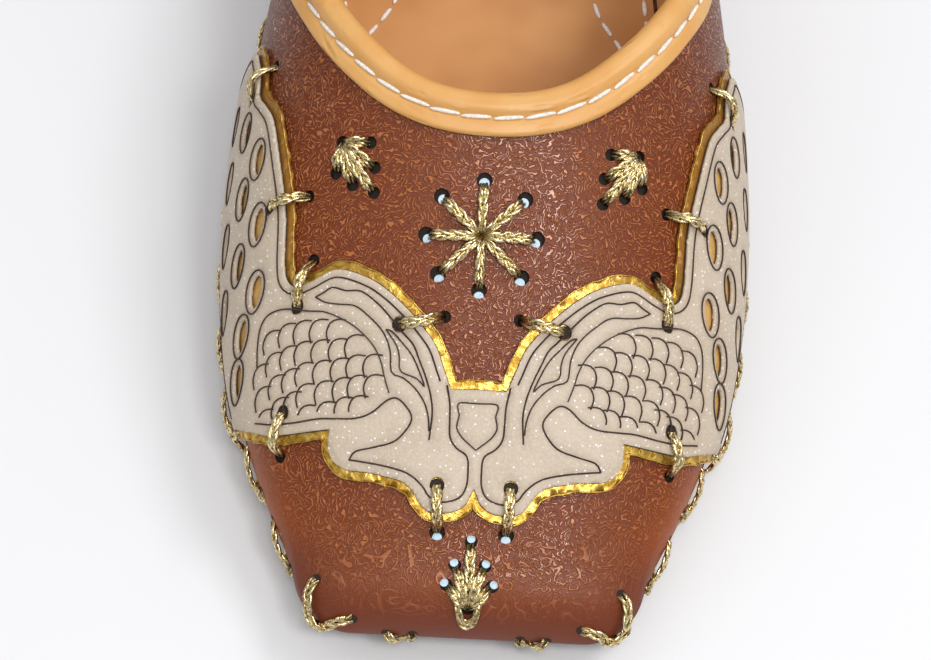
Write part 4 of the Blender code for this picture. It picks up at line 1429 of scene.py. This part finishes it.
class SHOE_OT_hole_floors(bpy.types.Operator):
    """Lay the bluish floors of painted light at the bottom of the star's, toe fan's and front
    stitches' holes
    """
    bl_idname = "shoe.build_hole_floors"
    bl_label = "Hole floors"

    def execute(self, context):
        radius = context.scene.shoe_sizes.hole_width / MM / 2.0
        bm = bmesh.new()
        shown = floor_places()
        side = np.array([hole.side + way[0] * radius for hole, way, size in shown])
        station = np.array([hole.station + way[1] * radius for hole, way, size in shown])
        points, normals = over_last(side, station, np.full(len(side), FLOOR_RISE - HOLE_DEPTH))
        for point, normal, (hole, way, size) in zip(points, normals, shown):
            turn = Vector(normal).to_track_quat("Z", "Y").to_matrix().to_4x4()
            bmesh.ops.create_cone(bm, cap_ends=True, cap_tris=False, segments=16,
                                  radius1=radius * size, radius2=radius * size * 0.9,
                                  depth=FLOOR_THICKNESS,
                                  matrix=Matrix.Translation(Vector(point)) @ turn)
        write_mesh("hole_floors", bm, [hole_floor_light(context.scene.shoe_colours)])
        return {"FINISHED"}


def leg_height(around, length):
    """Wall height that lies a length below the collar, measured square to its edge."""
    heights = np.linspace(0.4, 1.0, 61)
    edge = wall(around, 1.0)
    climb = wall_frame(around, 1.0)[1]
    grid = wall(around[:, None], heights[None, :])
    drops = np.sum((edge[:, None, :] - grid) * climb[:, None, :], axis=2)
    return np.array([np.interp(-length, -row, heights) for row in drops])


def binding_section():
    """Folded section of the binding, closed: leg (1 outside, -1 inside), length below the
    collar or turn over it, and depth from the middle of the upper's wall."""
    near = WALL / 2.0 + FIT
    far = near + BINDING
    rows = []
    for t in np.linspace(0.0, 1.0, 16):
        length = BINDING_LEG_OUT * (1.0 - t)
        above_edge = BINDING_LEG_OUT - length
        puff = 0.55 * math.exp(-((above_edge - 4.9) / 1.5) ** 2)
        dent = 0.50 * math.exp(-((above_edge - BINDING_EDGE) / 0.6) ** 2)
        rim = 0.45 * (1.0 - min(1.0, above_edge / 0.5)) ** 2
        rows.append((1.0, length, 0.0, far + puff - dent - rim))
    for t in np.linspace(0.0, math.pi, 17)[1:-1]:
        rows.append((0.0, 0.0, t, far + 0.30 * math.cos(t / 2.0) ** 2))
    for t in np.linspace(0.0, 1.0, 8):
        rows.append((-1.0, BINDING_LEG_IN * t, 0.0, far - 0.45 * max(0.0, t * 4.0 - 3.0) ** 2))
    for t in np.linspace(1.0, 0.0, 5):
        rows.append((-1.0, BINDING_LEG_IN * t, 0.0, near))
    for t in np.linspace(math.pi, 0.0, 8)[1:-1]:
        rows.append((0.0, 0.0, t, near))
    for t in np.linspace(0.0, 1.0, 5):
        rows.append((1.0, BINDING_LEG_OUT * t, 0.0, near))
    return rows


def section_place(around, rows, at):
    """Points of the folded section at places around the collar."""
    normal, climb = wall_frame(around, 1.0)
    middle = wall(around, 1.0) - normal * WALL / 2.0
    low = {1.0: leg_height(around, BINDING_LEG_OUT), -1.0: leg_height(around, BINDING_LEG_IN)}
    points = np.empty((len(around), 3))
    for k, (leg, length, turn, depth) in enumerate(rows):
        here = at == k
        if leg == 0.0:
            reach = normal[here] * math.cos(turn) + climb[here] * math.sin(turn)
            points[here] = middle[here] + depth * reach
        else:
            full = BINDING_LEG_OUT if leg > 0.0 else BINDING_LEG_IN
            up = 1.0 - (1.0 - low[leg][here]) * length / full
            points[here] = at_depth(around[here], up, WALL / 2.0 - leg * depth)
    return points


class SHOE_OT_binding(bpy.types.Operator):
    """Build the folded collar binding with its roll and stitch groove"""
    bl_idname = "shoe.build_binding"
    bl_label = "Collar binding"

    def execute(self, context):
        rows = binding_section()
        rows.append(rows[0])

        def place(u, v):
            around = spread_around(2.0 * u - 1.0) % 1.0
            return section_place(around, rows, np.rint(v * (len(rows) - 1)).astype(int))

        bm = mapped_grid(UPPER_COLUMNS, len(rows) - 1, place)
        close_back(bm)
        binding = write_mesh("collar_binding", bm, [binding_leather(context.scene.shoe_colours)],
                             60.0)
        set_point_values(binding, "shade", np.zeros(len(binding.data.vertices)))
        set_point_values(binding, "across", vertex_places(binding)[:, 2])
        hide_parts("collar_binding")
        return {"FINISHED"}


def add_stitch(bm, start, end, normal, width):
    """One thread stitch: a rounded bar between two needle holes."""
    start, end, normal = Vector(start), Vector(end), Vector(normal)
    run = end - start
    across = normal.cross(run).normalized()
    frame_axes = Matrix((run.normalized(), across, normal)).transposed().to_4x4()
    made = bmesh.ops.create_uvsphere(bm, u_segments=7, v_segments=6, radius=1.0,
                                     matrix=Matrix.Rotation(math.pi / 2.0, 4, "Y"))
    for vert in made["verts"]:
        vert.co.x = math.copysign(abs(vert.co.x) ** STITCH_FULLNESS, vert.co.x)
    sizes = Matrix.Diagonal((run.length / 2.0, width / 2.0, width * STITCH_HEIGHT, 1.0))
    place = Matrix.Translation((start + end) / 2.0) @ frame_axes @ sizes
    bmesh.ops.transform(bm, matrix=place, verts=made["verts"])


def even_around(line, count):
    """Places around at even distances of a closed line."""
    around = np.linspace(0.0, 1.0, 1601)
    points = line(around)
    run = shares(points)
    return np.interp((np.arange(count) + 0.5) / count, run, around)


class SHOE_OT_collar_stitches(bpy.types.Operator):
    """Sew the white stitches of the binding"""
    bl_idname = "shoe.build_collar_stitches"
    bl_label = "Collar stitches"

    def execute(self, context):
        sizes = context.scene.shoe_sizes
        stitch_length = sizes.stitch_length / MM
        length = BINDING_LEG_OUT - BINDING_EDGE
        depth = WALL / 2.0 + FIT + BINDING - STITCH_SUNK

        def line(around):
            up = 1.0 - (1.0 - leg_height(around, BINDING_LEG_OUT)) * length / BINDING_LEG_OUT
            return at_depth(around, up, WALL / 2.0 - depth)

        total = run_along(line(np.linspace(0.0, 1.0, 801) % 1.0))[-1]
        count = round(total / (stitch_length + STITCH_SPACE))
        middle = even_around(line, count)
        half = stitch_length / 2.0 / total
        normal, climb = wall_frame(middle, 0.97)
        slant = climb * STITCH_SLANT
        starts = line((middle - half) % 1.0) - slant
        ends = line((middle + half) % 1.0) + slant
        bm = bmesh.new()
        for a, b, n in zip(starts, ends, normal):
            add_stitch(bm, a + n * 0.02, b + n * 0.02, n, sizes.stitch_width / MM)
        write_mesh("collar_stitches", bm, [waxed_thread(context.scene.shoe_colours)],
                   80.0)
        return {"FINISHED"}


def mirrored_sheet(outline, holes, cell):
    """Flat sheet of the +X half and its mirror image, joined on the middle line."""
    bm = flat_sheet([outline] + holes, cell)
    bmesh.ops.mirror(bm, geom=bm.verts[:] + bm.edges[:] + bm.faces[:], axis="X",
                     merge_dist=0.001)
    return bm


class SHOE_OT_backing(bpy.types.Operator):
    """Lay the crinkled gold backing under the overlay"""
    bl_idname = "shoe.build_backing"
    bl_label = "Gold backing"

    def execute(self, context):
        outline = half_outline()
        grown = moved_out(outline, BACKING_MARGIN)
        steps = np.arange(len(grown))
        wobble = FOIL_WOBBLE * np.sin(steps * 0.83) * np.sin(steps * 0.31)
        grown = np.array(grown) + (np.array(grown) - np.array(outline)) * wobble[:, None]
        grown[0] = (0.0, grown[0][1])
        grown[-1] = (0.0, outline[-1][1] - BACKING_MARGIN * FOIL_FRONT)
        grown = [p for p in grown if p[0] >= 0.0]
        bm = mirrored_sheet(grown, [], BACKING_CELL)
        flat = np.array([vert.co[:2] for vert in bm.verts])
        crinkle = FOIL_CRINKLE * np.sin(flat[:, 0] * 1.9) * np.sin(flat[:, 1] * 2.3)
        lay_sheet(bm, BACKING_LIFT + BACKING + crinkle)
        bmesh.ops.recalc_face_normals(bm, faces=bm.faces)
        backing = write_mesh("gold_backing", bm, [gold_foil(context.scene.shoe_colours)])
        # Painted shade: the foil along the tails is coloured brown and made less metallic
        station = vertex_places(backing)[:, 1]
        set_point_values(backing, "shade", 0.85 * within(FOIL_SHADED, station))
        # Painted light in the eyes: the foil there paler and matt
        near = np.full(len(flat), 9.0)
        for eye in TAIL_EYES:
            off = np.hypot((np.abs(flat[:, 0]) - eye.side) / EYE_WIDTH,
                           (flat[:, 1] - eye.station) / EYE_LENGTH)
            near = np.minimum(near, off)
        set_point_values(backing, "pale", 1.0 - ease((near - EYE_PALE) / EYE_FADE))
        solid = backing.modifiers.new("Thickness", "SOLIDIFY")
        solid.thickness = BACKING * MM
        solid.offset = -1.0
        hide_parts("gold_backing")
        rim = np.array([p for p in grown if p[1] > RIM_START])
        strands = []
        for mirror in (1.0, -1.0):
            path = over_last(rim[:, 0] * mirror, rim[:, 1],
                             np.full(len(rim), BACKING_LIFT + BACKING + 0.02))[0]
            strands.append((path, 1.0))
        edge = add_strands("gold_rim", strands, RIM_RADIUS, 1, backing.data.materials[0])
        set_point_values(edge, "shade", np.zeros(len(edge.data.vertices)))
        set_point_values(edge, "pale", np.zeros(len(edge.data.vertices)))
        return {"FINISHED"}


class SHOE_OT_overlay(bpy.types.Operator):
    """Cut, press and engrave the cream overlay"""
    bl_idname = "shoe.build_overlay"
    bl_label = "Peacock overlay"

    def execute(self, context):
        sizes, colours = context.scene.shoe_sizes, context.scene.shoe_colours
        hole_width = sizes.hole_width / MM
        outline = half_outline()
        holes = [eye_outline(row, EYE_GROWN) for row in TAIL_EYES]
        holes += [circle(w.side, w.station, hole_width * 0.45, 14) for w in WHIPS]
        bm = mirrored_sheet(outline, holes, SHEET_CELL)
        flat = np.array([vert.co[:2] for vert in bm.verts])
        flat[:, 0] = np.abs(flat[:, 0])
        closed = [np.array(h + h[:1]) for h in holes]
        lines = engraved_runs()
        edge_gap = distance_to(flat, [np.array(outline)] + closed)
        line_gap = distance_to(flat, lines)
        lay_sheet(bm, OVERLAY_TOP - engraved_height(edge_gap, line_gap))
        bmesh.ops.recalc_face_normals(bm, faces=bm.faces)
        overlay = write_mesh("peacock_overlay", bm, [glitter_leather(colours)])
        set_point_values(overlay, "groove", 0.35 * np.exp(-((line_gap / 0.5) ** 2)))
        solid = overlay.modifiers.new("Thickness", "SOLIDIFY")
        solid.thickness = (OVERLAY - SHEET_THINNER) * MM
        solid.offset = -1.0
        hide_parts("peacock_overlay")
        strands = []
        for run in lines:
            for mirror in (1.0, -1.0):
                lift = np.full(len(run), OVERLAY_TOP - GROOVE + BURNT_RISE)
                path = over_last(run[:, 0] * mirror, run[:, 1], lift)[0]
                strands.append((path, 1.0))
        burnt = engraving(colours)
        add_strands("engraved_lines", strands, sizes.line_width / MM / 2.0, 0, burnt)
        # Dark line along every cut of the overlay, at its bottom: partly its burnt edge, partly
        # painted shade where it meets the gold
        edge = overlay_outline_both()
        cuts = [edge] + [np.array(ring) * (m, 1.0) for ring in closed for m in (1.0, -1.0)]
        strands = []
        for cut in cuts:
            lift = np.full(len(cut), OVERLAY_LIFT + BURNT_RISE)
            path = over_last(cut[:, 0], cut[:, 1], lift)[0]
            strands.append((path, 1.0))
        add_strands("burnt_and_shaded_edge", strands, BURNT_EDGE, 0, burnt)
        # Dark plugs in the overlay's holes for the whip stitches: painted shade
        plugs = bmesh.new()
        for mirror in (1.0, -1.0):
            for whip in WHIPS:
                spot = np.array((whip.side * mirror,)), np.array((whip.station,))
                point, normal = over_last(spot[0], spot[1], np.array((OVERLAY_LIFT,)))
                add_tool(plugs, point[0], normal[0], 0.1, hole_width * 0.43, 0.3)
        write_mesh("overlay_hole_shade", plugs, [punched_edge(colours)])
        return {"FINISHED"}


class SHOE_OT_braids(bpy.types.Operator):
    """Sew the metallic star, fans and whip stitches of the vamp"""
    bl_idname = "shoe.build_braids"
    bl_label = "Vamp braids"

    def execute(self, context):
        ply_radius = context.scene.shoe_sizes.ply_radius / MM
        material = metal_braid(context.scene.shoe_colours)
        groups = {"star_braid": [], "side_fan_braid": [], "toe_fan_braid": [], "whip_braid": []}
        for mirror in (1.0, -1.0):
            for hub, holes, name, shift in ((STAR_HUB, STAR_HOLES, "star_braid", STAR_SHIFT),
                                            (FAN_HUB, FAN_HOLES, "side_fan_braid", 0.0),
                                            (TOE_HUB, TOE_HOLES, "toe_fan_braid", 0.0)):
                for k, hole in enumerate(holes):
                    if mirror < 0.0 and hole.side == 0.0:
                        continue
                    groups[name] += self.spoke(hub, hole, mirror, k, shift)
            for whip in WHIPS:
                groups["whip_braid"] += self.whip(whip, mirror)
        groups["toe_fan_braid"] += flat_braid(TOE_LOOP, TOE_LOOP_LIFTS,
                                              np.full(len(TOE_LOOP), TOE_LOOP_WIDTH))
        dark = both_halves([STAR_HUB] + list(STAR_HOLES), STAR_SHIFT)
        dark += both_halves([FAN_HUB, TOE_HUB] + list(FAN_HOLES) + list(TOE_HOLES))
        dark += both_halves([PlaceRow(w.far_side, w.far_station) for w in WHIPS])
        flat = np.array([(row.side, row.station) for row in dark])
        points = over_last(flat[:, 0], flat[:, 1], np.zeros(len(flat)))[0]
        for name, strands in groups.items():
            braid = add_strands(name, strands, ply_radius, 1, material)
            paint_shade_near(braid, points, 1.5)
        return {"FINISHED"}

    @staticmethod
    def spoke(hub, hole, mirror, number, shift):
        """Braid from inside a hole to the hub of its fan."""
        start = np.array((hole.side * mirror + shift, hole.station))
        end = np.array((hub.side * mirror + shift, hub.station))
        way = end - start
        length = np.linalg.norm(way)
        share = np.array((0.45, 0.65, 0.95, 1.4, 2.3, 0.5 * length, length - 2.4, length - 1.1,
                          length - 0.1)) / length
        lift = np.array((-0.9, -0.5, 0.2, 0.62, 0.72, 0.82, 0.85, 0.6, -0.5))
        lift[5:8] += 0.12 * (number % 3)
        width = np.array((0.8, 0.85, 0.95, 1.0, 1.0, 1.0, 0.85, 0.62, 0.45))
        return flat_braid(start + share[:, None] * way, lift, width)

    @staticmethod
    def whip(row, mirror):
        """Braid from a hole of the overlay over its cut edge to a hole of the upper."""
        start = np.array((row.side * mirror, row.station))
        end = np.array((row.far_side * mirror, row.far_station))
        way = end - start
        share = np.array((0.0, 0.06, 0.14, 0.3, 0.5, 0.66, 0.8, 0.92, 0.97, 1.0))
        lift = np.array((1.4, 1.9, 2.6, 3.0, 3.15, 2.9, 1.9, 0.6, -0.2, -0.7))
        width = np.array((0.8, 0.9, 1.0, 1.0, 1.0, 1.0, 1.0, 0.9, 0.8, 0.7))
        return flat_braid(start + share[:, None] * way, lift, width)


def skin(around, drop):
    """Outer skin a drop below the widest line: the upper, its skirt, then the outsole."""
    station = belly_point(around)[1]
    height = column(LAST, "belly", station)
    skirt = height - sole_top(station) - FIT
    share = np.clip(drop / skirt, 0.0, 1.0)
    turn = np.arcsin(share * math.sin(math.pi / 3.0))
    speed = np.linalg.norm(wall(around, 0.06) - wall(around, 0.0), axis=-1) / 0.06
    up = np.where(drop < 0.0, -drop / speed, -turn / (math.pi / 3.0))
    point = wall(around, up)
    nx, ny = plan_normal(around)
    past = np.clip((drop - skirt) / 0.8, 0.0, 1.0) * SOLE_MARGIN
    point[..., 0] += nx * past
    point[..., 1] += ny * past
    point[..., 2] = np.where(drop > skirt, height - drop, point[..., 2])
    normal = np.stack((nx, ny, np.zeros_like(nx)), axis=-1)
    above = wall_frame(around, np.maximum(up, 0.0))[0]
    return point, np.where((drop < 0.0)[..., None], above, normal)


class SHOE_OT_edge_braid(bpy.types.Operator):
    """Sew the crossed braid stitches around the sole's edge"""
    bl_idname = "shoe.build_edge_braid"
    bl_label = "Edge braid"

    def execute(self, context):
        sizes, colours = context.scene.shoe_sizes, context.scene.shoe_colours

        around = np.linspace(0.0, 1.0, 1601)
        run = run_along(np.stack(belly_point(around % 1.0), axis=-1))
        total = run[-1]
        at_side = sizes.edge_groups // 2 - 3
        pitch = (total / 2.0 - SIDE_GROUP) / (at_side - 0.5)
        centres = [FRONT_GROUP, CORNER_GROUP, NEXT_GROUP]
        centres += list(SIDE_GROUP + pitch * np.arange(at_side))
        strands, holes, spots = [], bmesh.new(), []
        for centre, lean, mirror in product(centres, (1.0, -1.0), (1.0, -1.0)):
            station = float(belly_point(np.interp([centre], run, around))[1][0])
            distance, drop, lift = self.crossing(lean, pitch, centre, station)
            share = np.interp(mirror * (centre + distance) % total, run, around)
            point, normal = skin(share, drop)
            across = np.cross(normal, np.gradient(point, axis=0))
            across /= np.linalg.norm(across, axis=-1, keepdims=True)
            offsets = braid_offsets(run_along(point), PLY_TWIST, EDGE_PLY_TURN, EDGE_CORD_GAP)
            for out, rise in offsets:
                strands.append((point + across * out[:, None]
                                + normal * (lift + rise)[:, None], 1.0))
            # A dark plug at each hole of the edge braid: painted shade
            add_tool(holes, point[0], normal[0], 0.5, 0.85, 0.04, 12)
            spots.append(point[0])
        braid = add_strands("edge_braid", strands, EDGE_PLY, 1, metal_braid(colours))
        paint_shade_near(braid, spots, 1.3)
        write_mesh("edge_hole_shade", holes, [punched_edge(colours)])
        self.seams(colours)
        return {"FINISHED"}

    @staticmethod
    def seams(colours):
        """Dark joint of vamp and quarter below the overlay, and the joint at the back."""
        strands = []
        rise = np.linspace(SEAM_LOW, SIDE_SEAM_TOP, 14)
        for around in (SIDE_SEAM, 1.0 - SIDE_SEAM):
            strands.append((wall(np.full(len(rise), around), rise), 1.0))
        rise = np.linspace(SEAM_LOW, BACK_SEAM_TOP, 30)
        strands.append((wall(np.full(len(rise), 0.5), rise), 1.0))
        add_strands("upper_seams", strands, SEAM_RADIUS, 0, engraving(colours))

    @staticmethod
    def crossing(lean, pitch, centre, station):
        """One leg of a crossed stitch: distance along the edge, drop and lift at its points."""
        bottom = float(column(LAST, "belly", station) - sole_top(station)) + LEG_END
        share = np.linspace(0.0, 1.0, 35 if centre == CORNER_GROUP else 23)
        if centre == CORNER_GROUP:
            leg = np.array(CORNER_LEGS[lean] + ((centre + CORNER_END * lean, bottom),))
            knots = np.linspace(0.0, 1.0, len(leg))
            distance = smoothed(np.interp(share, knots, leg[:, 0])) - centre
            drop = smoothed(np.interp(share, knots, leg[:, 1]))
        else:
            at_front = centre == FRONT_GROUP
            first = EDGE_HOLES + (FRONT_DROP if at_front else 0.0)
            spread = FRONT_SPREAD if at_front else SIDE_SPREAD
            distance = lean * pitch * spread * (1.0 - 2.0 * ease(share))
            drop = first + (bottom - first) * share
        over_hem = within(HEM_BULGE, station) * (1.0 - within(HEM_BULGE_GOES, station))
        power = 0.25 if centre == CORNER_GROUP else 0.5 - 0.15 * over_hem
        bulge = np.sin(np.pi * np.clip(share, 0.0, 1.0)) ** power
        lift = -0.6 + (1.5 + 0.28 * lean + 1.8 * over_hem) * bulge
        return distance, drop, lift


def smoothed(values):
    """The same run of values with its corners rounded and its ends kept."""
    for _ in range(8):
        values[1:-1] = (values[:-2] + 2.0 * values[1:-1] + values[2:]) / 4.0
    return values


def outline_loop(inset, count=260):
    """Closed outline of the sole in plan: the widest line drawn in by the tuck and more."""
    around = spread_around(np.linspace(-1.0, 1.0, count + 1)[:-1]) % 1.0
    x, station = belly_point(around)
    nx, ny = plan_normal(around)
    moved_in = column(LAST, "tuck", station) + inset
    return np.stack((x - nx * moved_in, station - ny * moved_in), axis=-1)


def outline_slab(inset, first_station, height, cuts):
    """Flat slab of the sole's outline behind a station, cut across so that it can bend."""
    bm = bmesh.new()
    verts = [bm.verts.new((p[0], p[1], 0.0)) for p in outline_loop(inset)]
    bm.faces.new(verts)
    if first_station is not None:
        bmesh.ops.bisect_plane(bm, geom=bm.verts[:] + bm.edges[:] + bm.faces[:], dist=1e-4,
                               plane_co=(0.0, first_station, 0.0), plane_no=(0.0, -1.0, 0.0),
                               clear_outer=True)
    for station in cuts:
        bmesh.ops.bisect_plane(bm, geom=bm.verts[:] + bm.edges[:] + bm.faces[:], dist=1e-4,
                               plane_co=(0.0, station, 0.0), plane_no=(0.0, 1.0, 0.0))
    made = bmesh.ops.extrude_face_region(bm, geom=bm.faces[:])
    top = [item for item in made["geom"] if isinstance(item, bmesh.types.BMVert)]
    bmesh.ops.translate(bm, verts=top, vec=(0.0, 0.0, height))
    bmesh.ops.recalc_face_normals(bm, faces=bm.faces)
    return bm


def round_rims(bm, width, segments):
    rims = [edge for edge in bm.edges if len(edge.link_faces) == 2
            and edge.calc_face_angle(0.0) > math.radians(50.0)]
    bmesh.ops.bevel(bm, geom=rims, offset=width, offset_type="OFFSET", affect="EDGES",
                    segments=segments, profile=0.5, material=-1, clamp_overlap=True)


def lift_by_station(bm, height):
    for vert in bm.verts:
        vert.co.z += float(height(vert.co.y))


class SHOE_OT_sole(bpy.types.Operator):
    """Build the outsole and the stacked heel"""
    bl_idname = "shoe.build_sole"
    bl_label = "Sole and heel"

    def execute(self, context):
        colours = context.scene.shoe_colours
        bm = outline_slab(-SOLE_MARGIN, None, OUTSOLE, np.arange(BEND_START, LENGTH - 4.0, SOLE_CELL))
        round_rims(bm, 0.7, 3)
        lift_by_station(bm, sole_under)
        outsole = write_mesh("outsole", bm,
                             [sole_leather("oak_bark_sole_leather", colours.sole,
                                           colours.sole_shade)])
        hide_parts("outsole")
        heel = bmesh.new()
        thickness = HEEL_LIFT / HEEL_LAYERS
        for k in range(HEEL_LAYERS):
            layer = outline_slab(-SOLE_MARGIN, HEEL_BREAST, thickness - HEEL_JOINT, ())
            round_rims(layer, 0.25, 2)
            bmesh.ops.translate(layer, verts=layer.verts, vec=(0.0, 0.0, k * thickness))
            add_layer(heel, layer)
        stack = write_mesh("heel", heel, [sole_leather("stacked_heel_leather", colours.heel,
                                                       colours.heel_shade)])
        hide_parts("heel")
        return {"FINISHED"}


class SHOE_OT_insole(bpy.types.Operator):
    """Build the padded footbed with its two rows of white stitches"""
    bl_idname = "shoe.build_insole"
    bl_label = "Insole"

    def execute(self, context):
        colours = context.scene.shoe_colours
        cuts = np.arange(BEND_START, LENGTH - 8.0, INSOLE_CELL)
        bm = outline_slab(WALL + FIT, None, INSOLE, cuts)
        round_rims(bm, 0.6, 3)
        lift_by_station(bm, lambda y: sole_top(y) + FIT)
        insole = write_mesh("insole", bm, [lining_leather(colours)])
        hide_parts("insole")
        stitches = bmesh.new()
        for row in INSOLE_ROWS:
            loop = outline_loop(WALL + FIT + row.inset, 900)
            station = loop[:, 1]
            widened = within(ARCH_SPREAD, station) * (1.0 - within(ARCH_SPREAD_GOES, station))
            loop[:, 0] *= 1.0 + row.spread * widened
            points = np.column_stack((loop, sole_top(loop[:, 1]) + FIT + INSOLE + 0.12))
            points = np.vstack((points, points[:1]))
            run = run_along(points)
            count = int(run[-1] / INSOLE_PITCH)
            at = np.arange(count) * run[-1] / count
            starts = np.stack([np.interp(at, run, values) for values in points.T], axis=-1)
            at += INSOLE_STITCH
            ends = np.stack([np.interp(at, run, values) for values in points.T], axis=-1)
            for a, b in zip(starts, ends):
                add_stitch(stitches, a, b, (0.0, 0.0, 1.0), INSOLE_THREAD)
        write_mesh("insole_stitches", stitches, [waxed_thread(colours)], 80.0)
        return {"FINISHED"}


class SHOE_OT_stage(bpy.types.Operator):
    """Set the pale floor, the soft studio light and the camera"""
    bl_idname = "shoe.build_stage"
    bl_label = "Stage"

    def execute(self, context):
        scene = context.scene
        bm = bmesh.new()
        bmesh.ops.create_grid(bm, x_segments=1, y_segments=1, size=FLOOR_HALF)
        mesh = bpy.data.meshes.new("floor")
        bm.to_mesh(mesh)
        bm.free()
        mesh.materials.append(studio_paper())
        floor = bpy.data.objects.new("floor", mesh)
        floor.location.z = -FLOOR_DROP
        scene.collection.objects.link(floor)
        world = bpy.data.worlds.new("studio")
        world.use_nodes = True
        background = world.node_tree.nodes["Background"]
        tree = world.node_tree
        background.inputs["Color"].default_value = (*linear("F7F8FA"), 1.0)
        place = add_node(tree, "ShaderNodeTexCoord").outputs["Generated"]
        height = add_node(tree, "ShaderNodeSeparateXYZ", {0: place}).outputs[2]
        tree.links.new(levels(tree, height, 0.0, 1.0, SKY_LOW, SKY_HIGH),
                       background.inputs["Strength"])
        scene.world = world
        scene.view_settings.view_transform = "Standard"
        for row in LAMPS:
            self.lamp(scene, row)
        self.camera(scene)
        return {"FINISHED"}

    @staticmethod
    def lamp(scene, row):
        data = bpy.data.lights.new(row.name, "AREA")
        data.shape = "SQUARE"
        data.size = row.size
        data.energy = row.power
        lamp = bpy.data.objects.new(row.name, data)
        lamp.location = row.place
        aim = Vector(LAMP_AIM) - Vector(row.place)
        lamp.rotation_euler = aim.to_track_quat("-Z", "Y").to_euler()
        scene.collection.objects.link(lamp)

    @staticmethod
    def camera(scene):
        data = bpy.data.cameras.new("camera")
        data.lens = CAMERA_LENS
        data.sensor_width = SENSOR
        data.clip_start = 0.01
        data.clip_end = 20.0
        tilt, roll = math.radians(CAMERA_DOWN), math.radians(CAMERA_ROLL)
        ahead = Vector((0.0, math.cos(tilt), -math.sin(tilt)))
        above = Vector((0.0, math.sin(tilt), math.cos(tilt)))
        right = Vector((1.0, 0.0, 0.0))
        x = right * math.cos(roll) + above * math.sin(roll)
        y = above * math.cos(roll) - right * math.sin(roll)
        matrix = Matrix((x, y, -ahead)).transposed().to_4x4()
        matrix.translation = Vector(CAMERA_AIM) * MM - ahead * CAMERA_DISTANCE * MM
        camera = bpy.data.objects.new("camera", data)
        camera.matrix_world = matrix
        scene.collection.objects.link(camera)
        scene.camera = camera


STEPS = (SHOE_OT_stage, SHOE_OT_sole, SHOE_OT_insole, SHOE_OT_upper, SHOE_OT_hole_floors,
         SHOE_OT_backing, SHOE_OT_overlay, SHOE_OT_binding, SHOE_OT_collar_stitches,
         SHOE_OT_braids, SHOE_OT_edge_braid)


class SHOE_PT_panel(bpy.types.Panel):
    """Lists the sizes, the colours and the pieces of the shoe"""
    bl_label = "Mojari shoe"
    bl_idname = "SHOE_PT_panel"
    bl_space_type = "VIEW_3D"
    bl_region_type = "UI"
    bl_category = "Shoe"

    def draw(self, context):
        layout = self.layout
        for group in (context.scene.shoe_sizes, context.scene.shoe_colours):
            for name in group.__annotations__:
                layout.prop(group, name)
        for step in STEPS:
            layout.operator(step.bl_idname)


CLASSES = (ShoeSizes, ShoeColours) + STEPS + (SHOE_PT_panel,)


def register():
    for item in CLASSES:
        bpy.utils.register_class(item)
    bpy.types.Scene.shoe_sizes = PointerProperty(type=ShoeSizes)
    bpy.types.Scene.shoe_colours = PointerProperty(type=ShoeColours)


def unregister():
    del bpy.types.Scene.shoe_colours
    del bpy.types.Scene.shoe_sizes
    for item in reversed(CLASSES):
        bpy.utils.unregister_class(item)


def main():
    register()
    for step in STEPS:
        group, name = step.bl_idname.split(".")
        getattr(getattr(bpy.ops, group), name)()


if __name__ == "__main__":
    main()
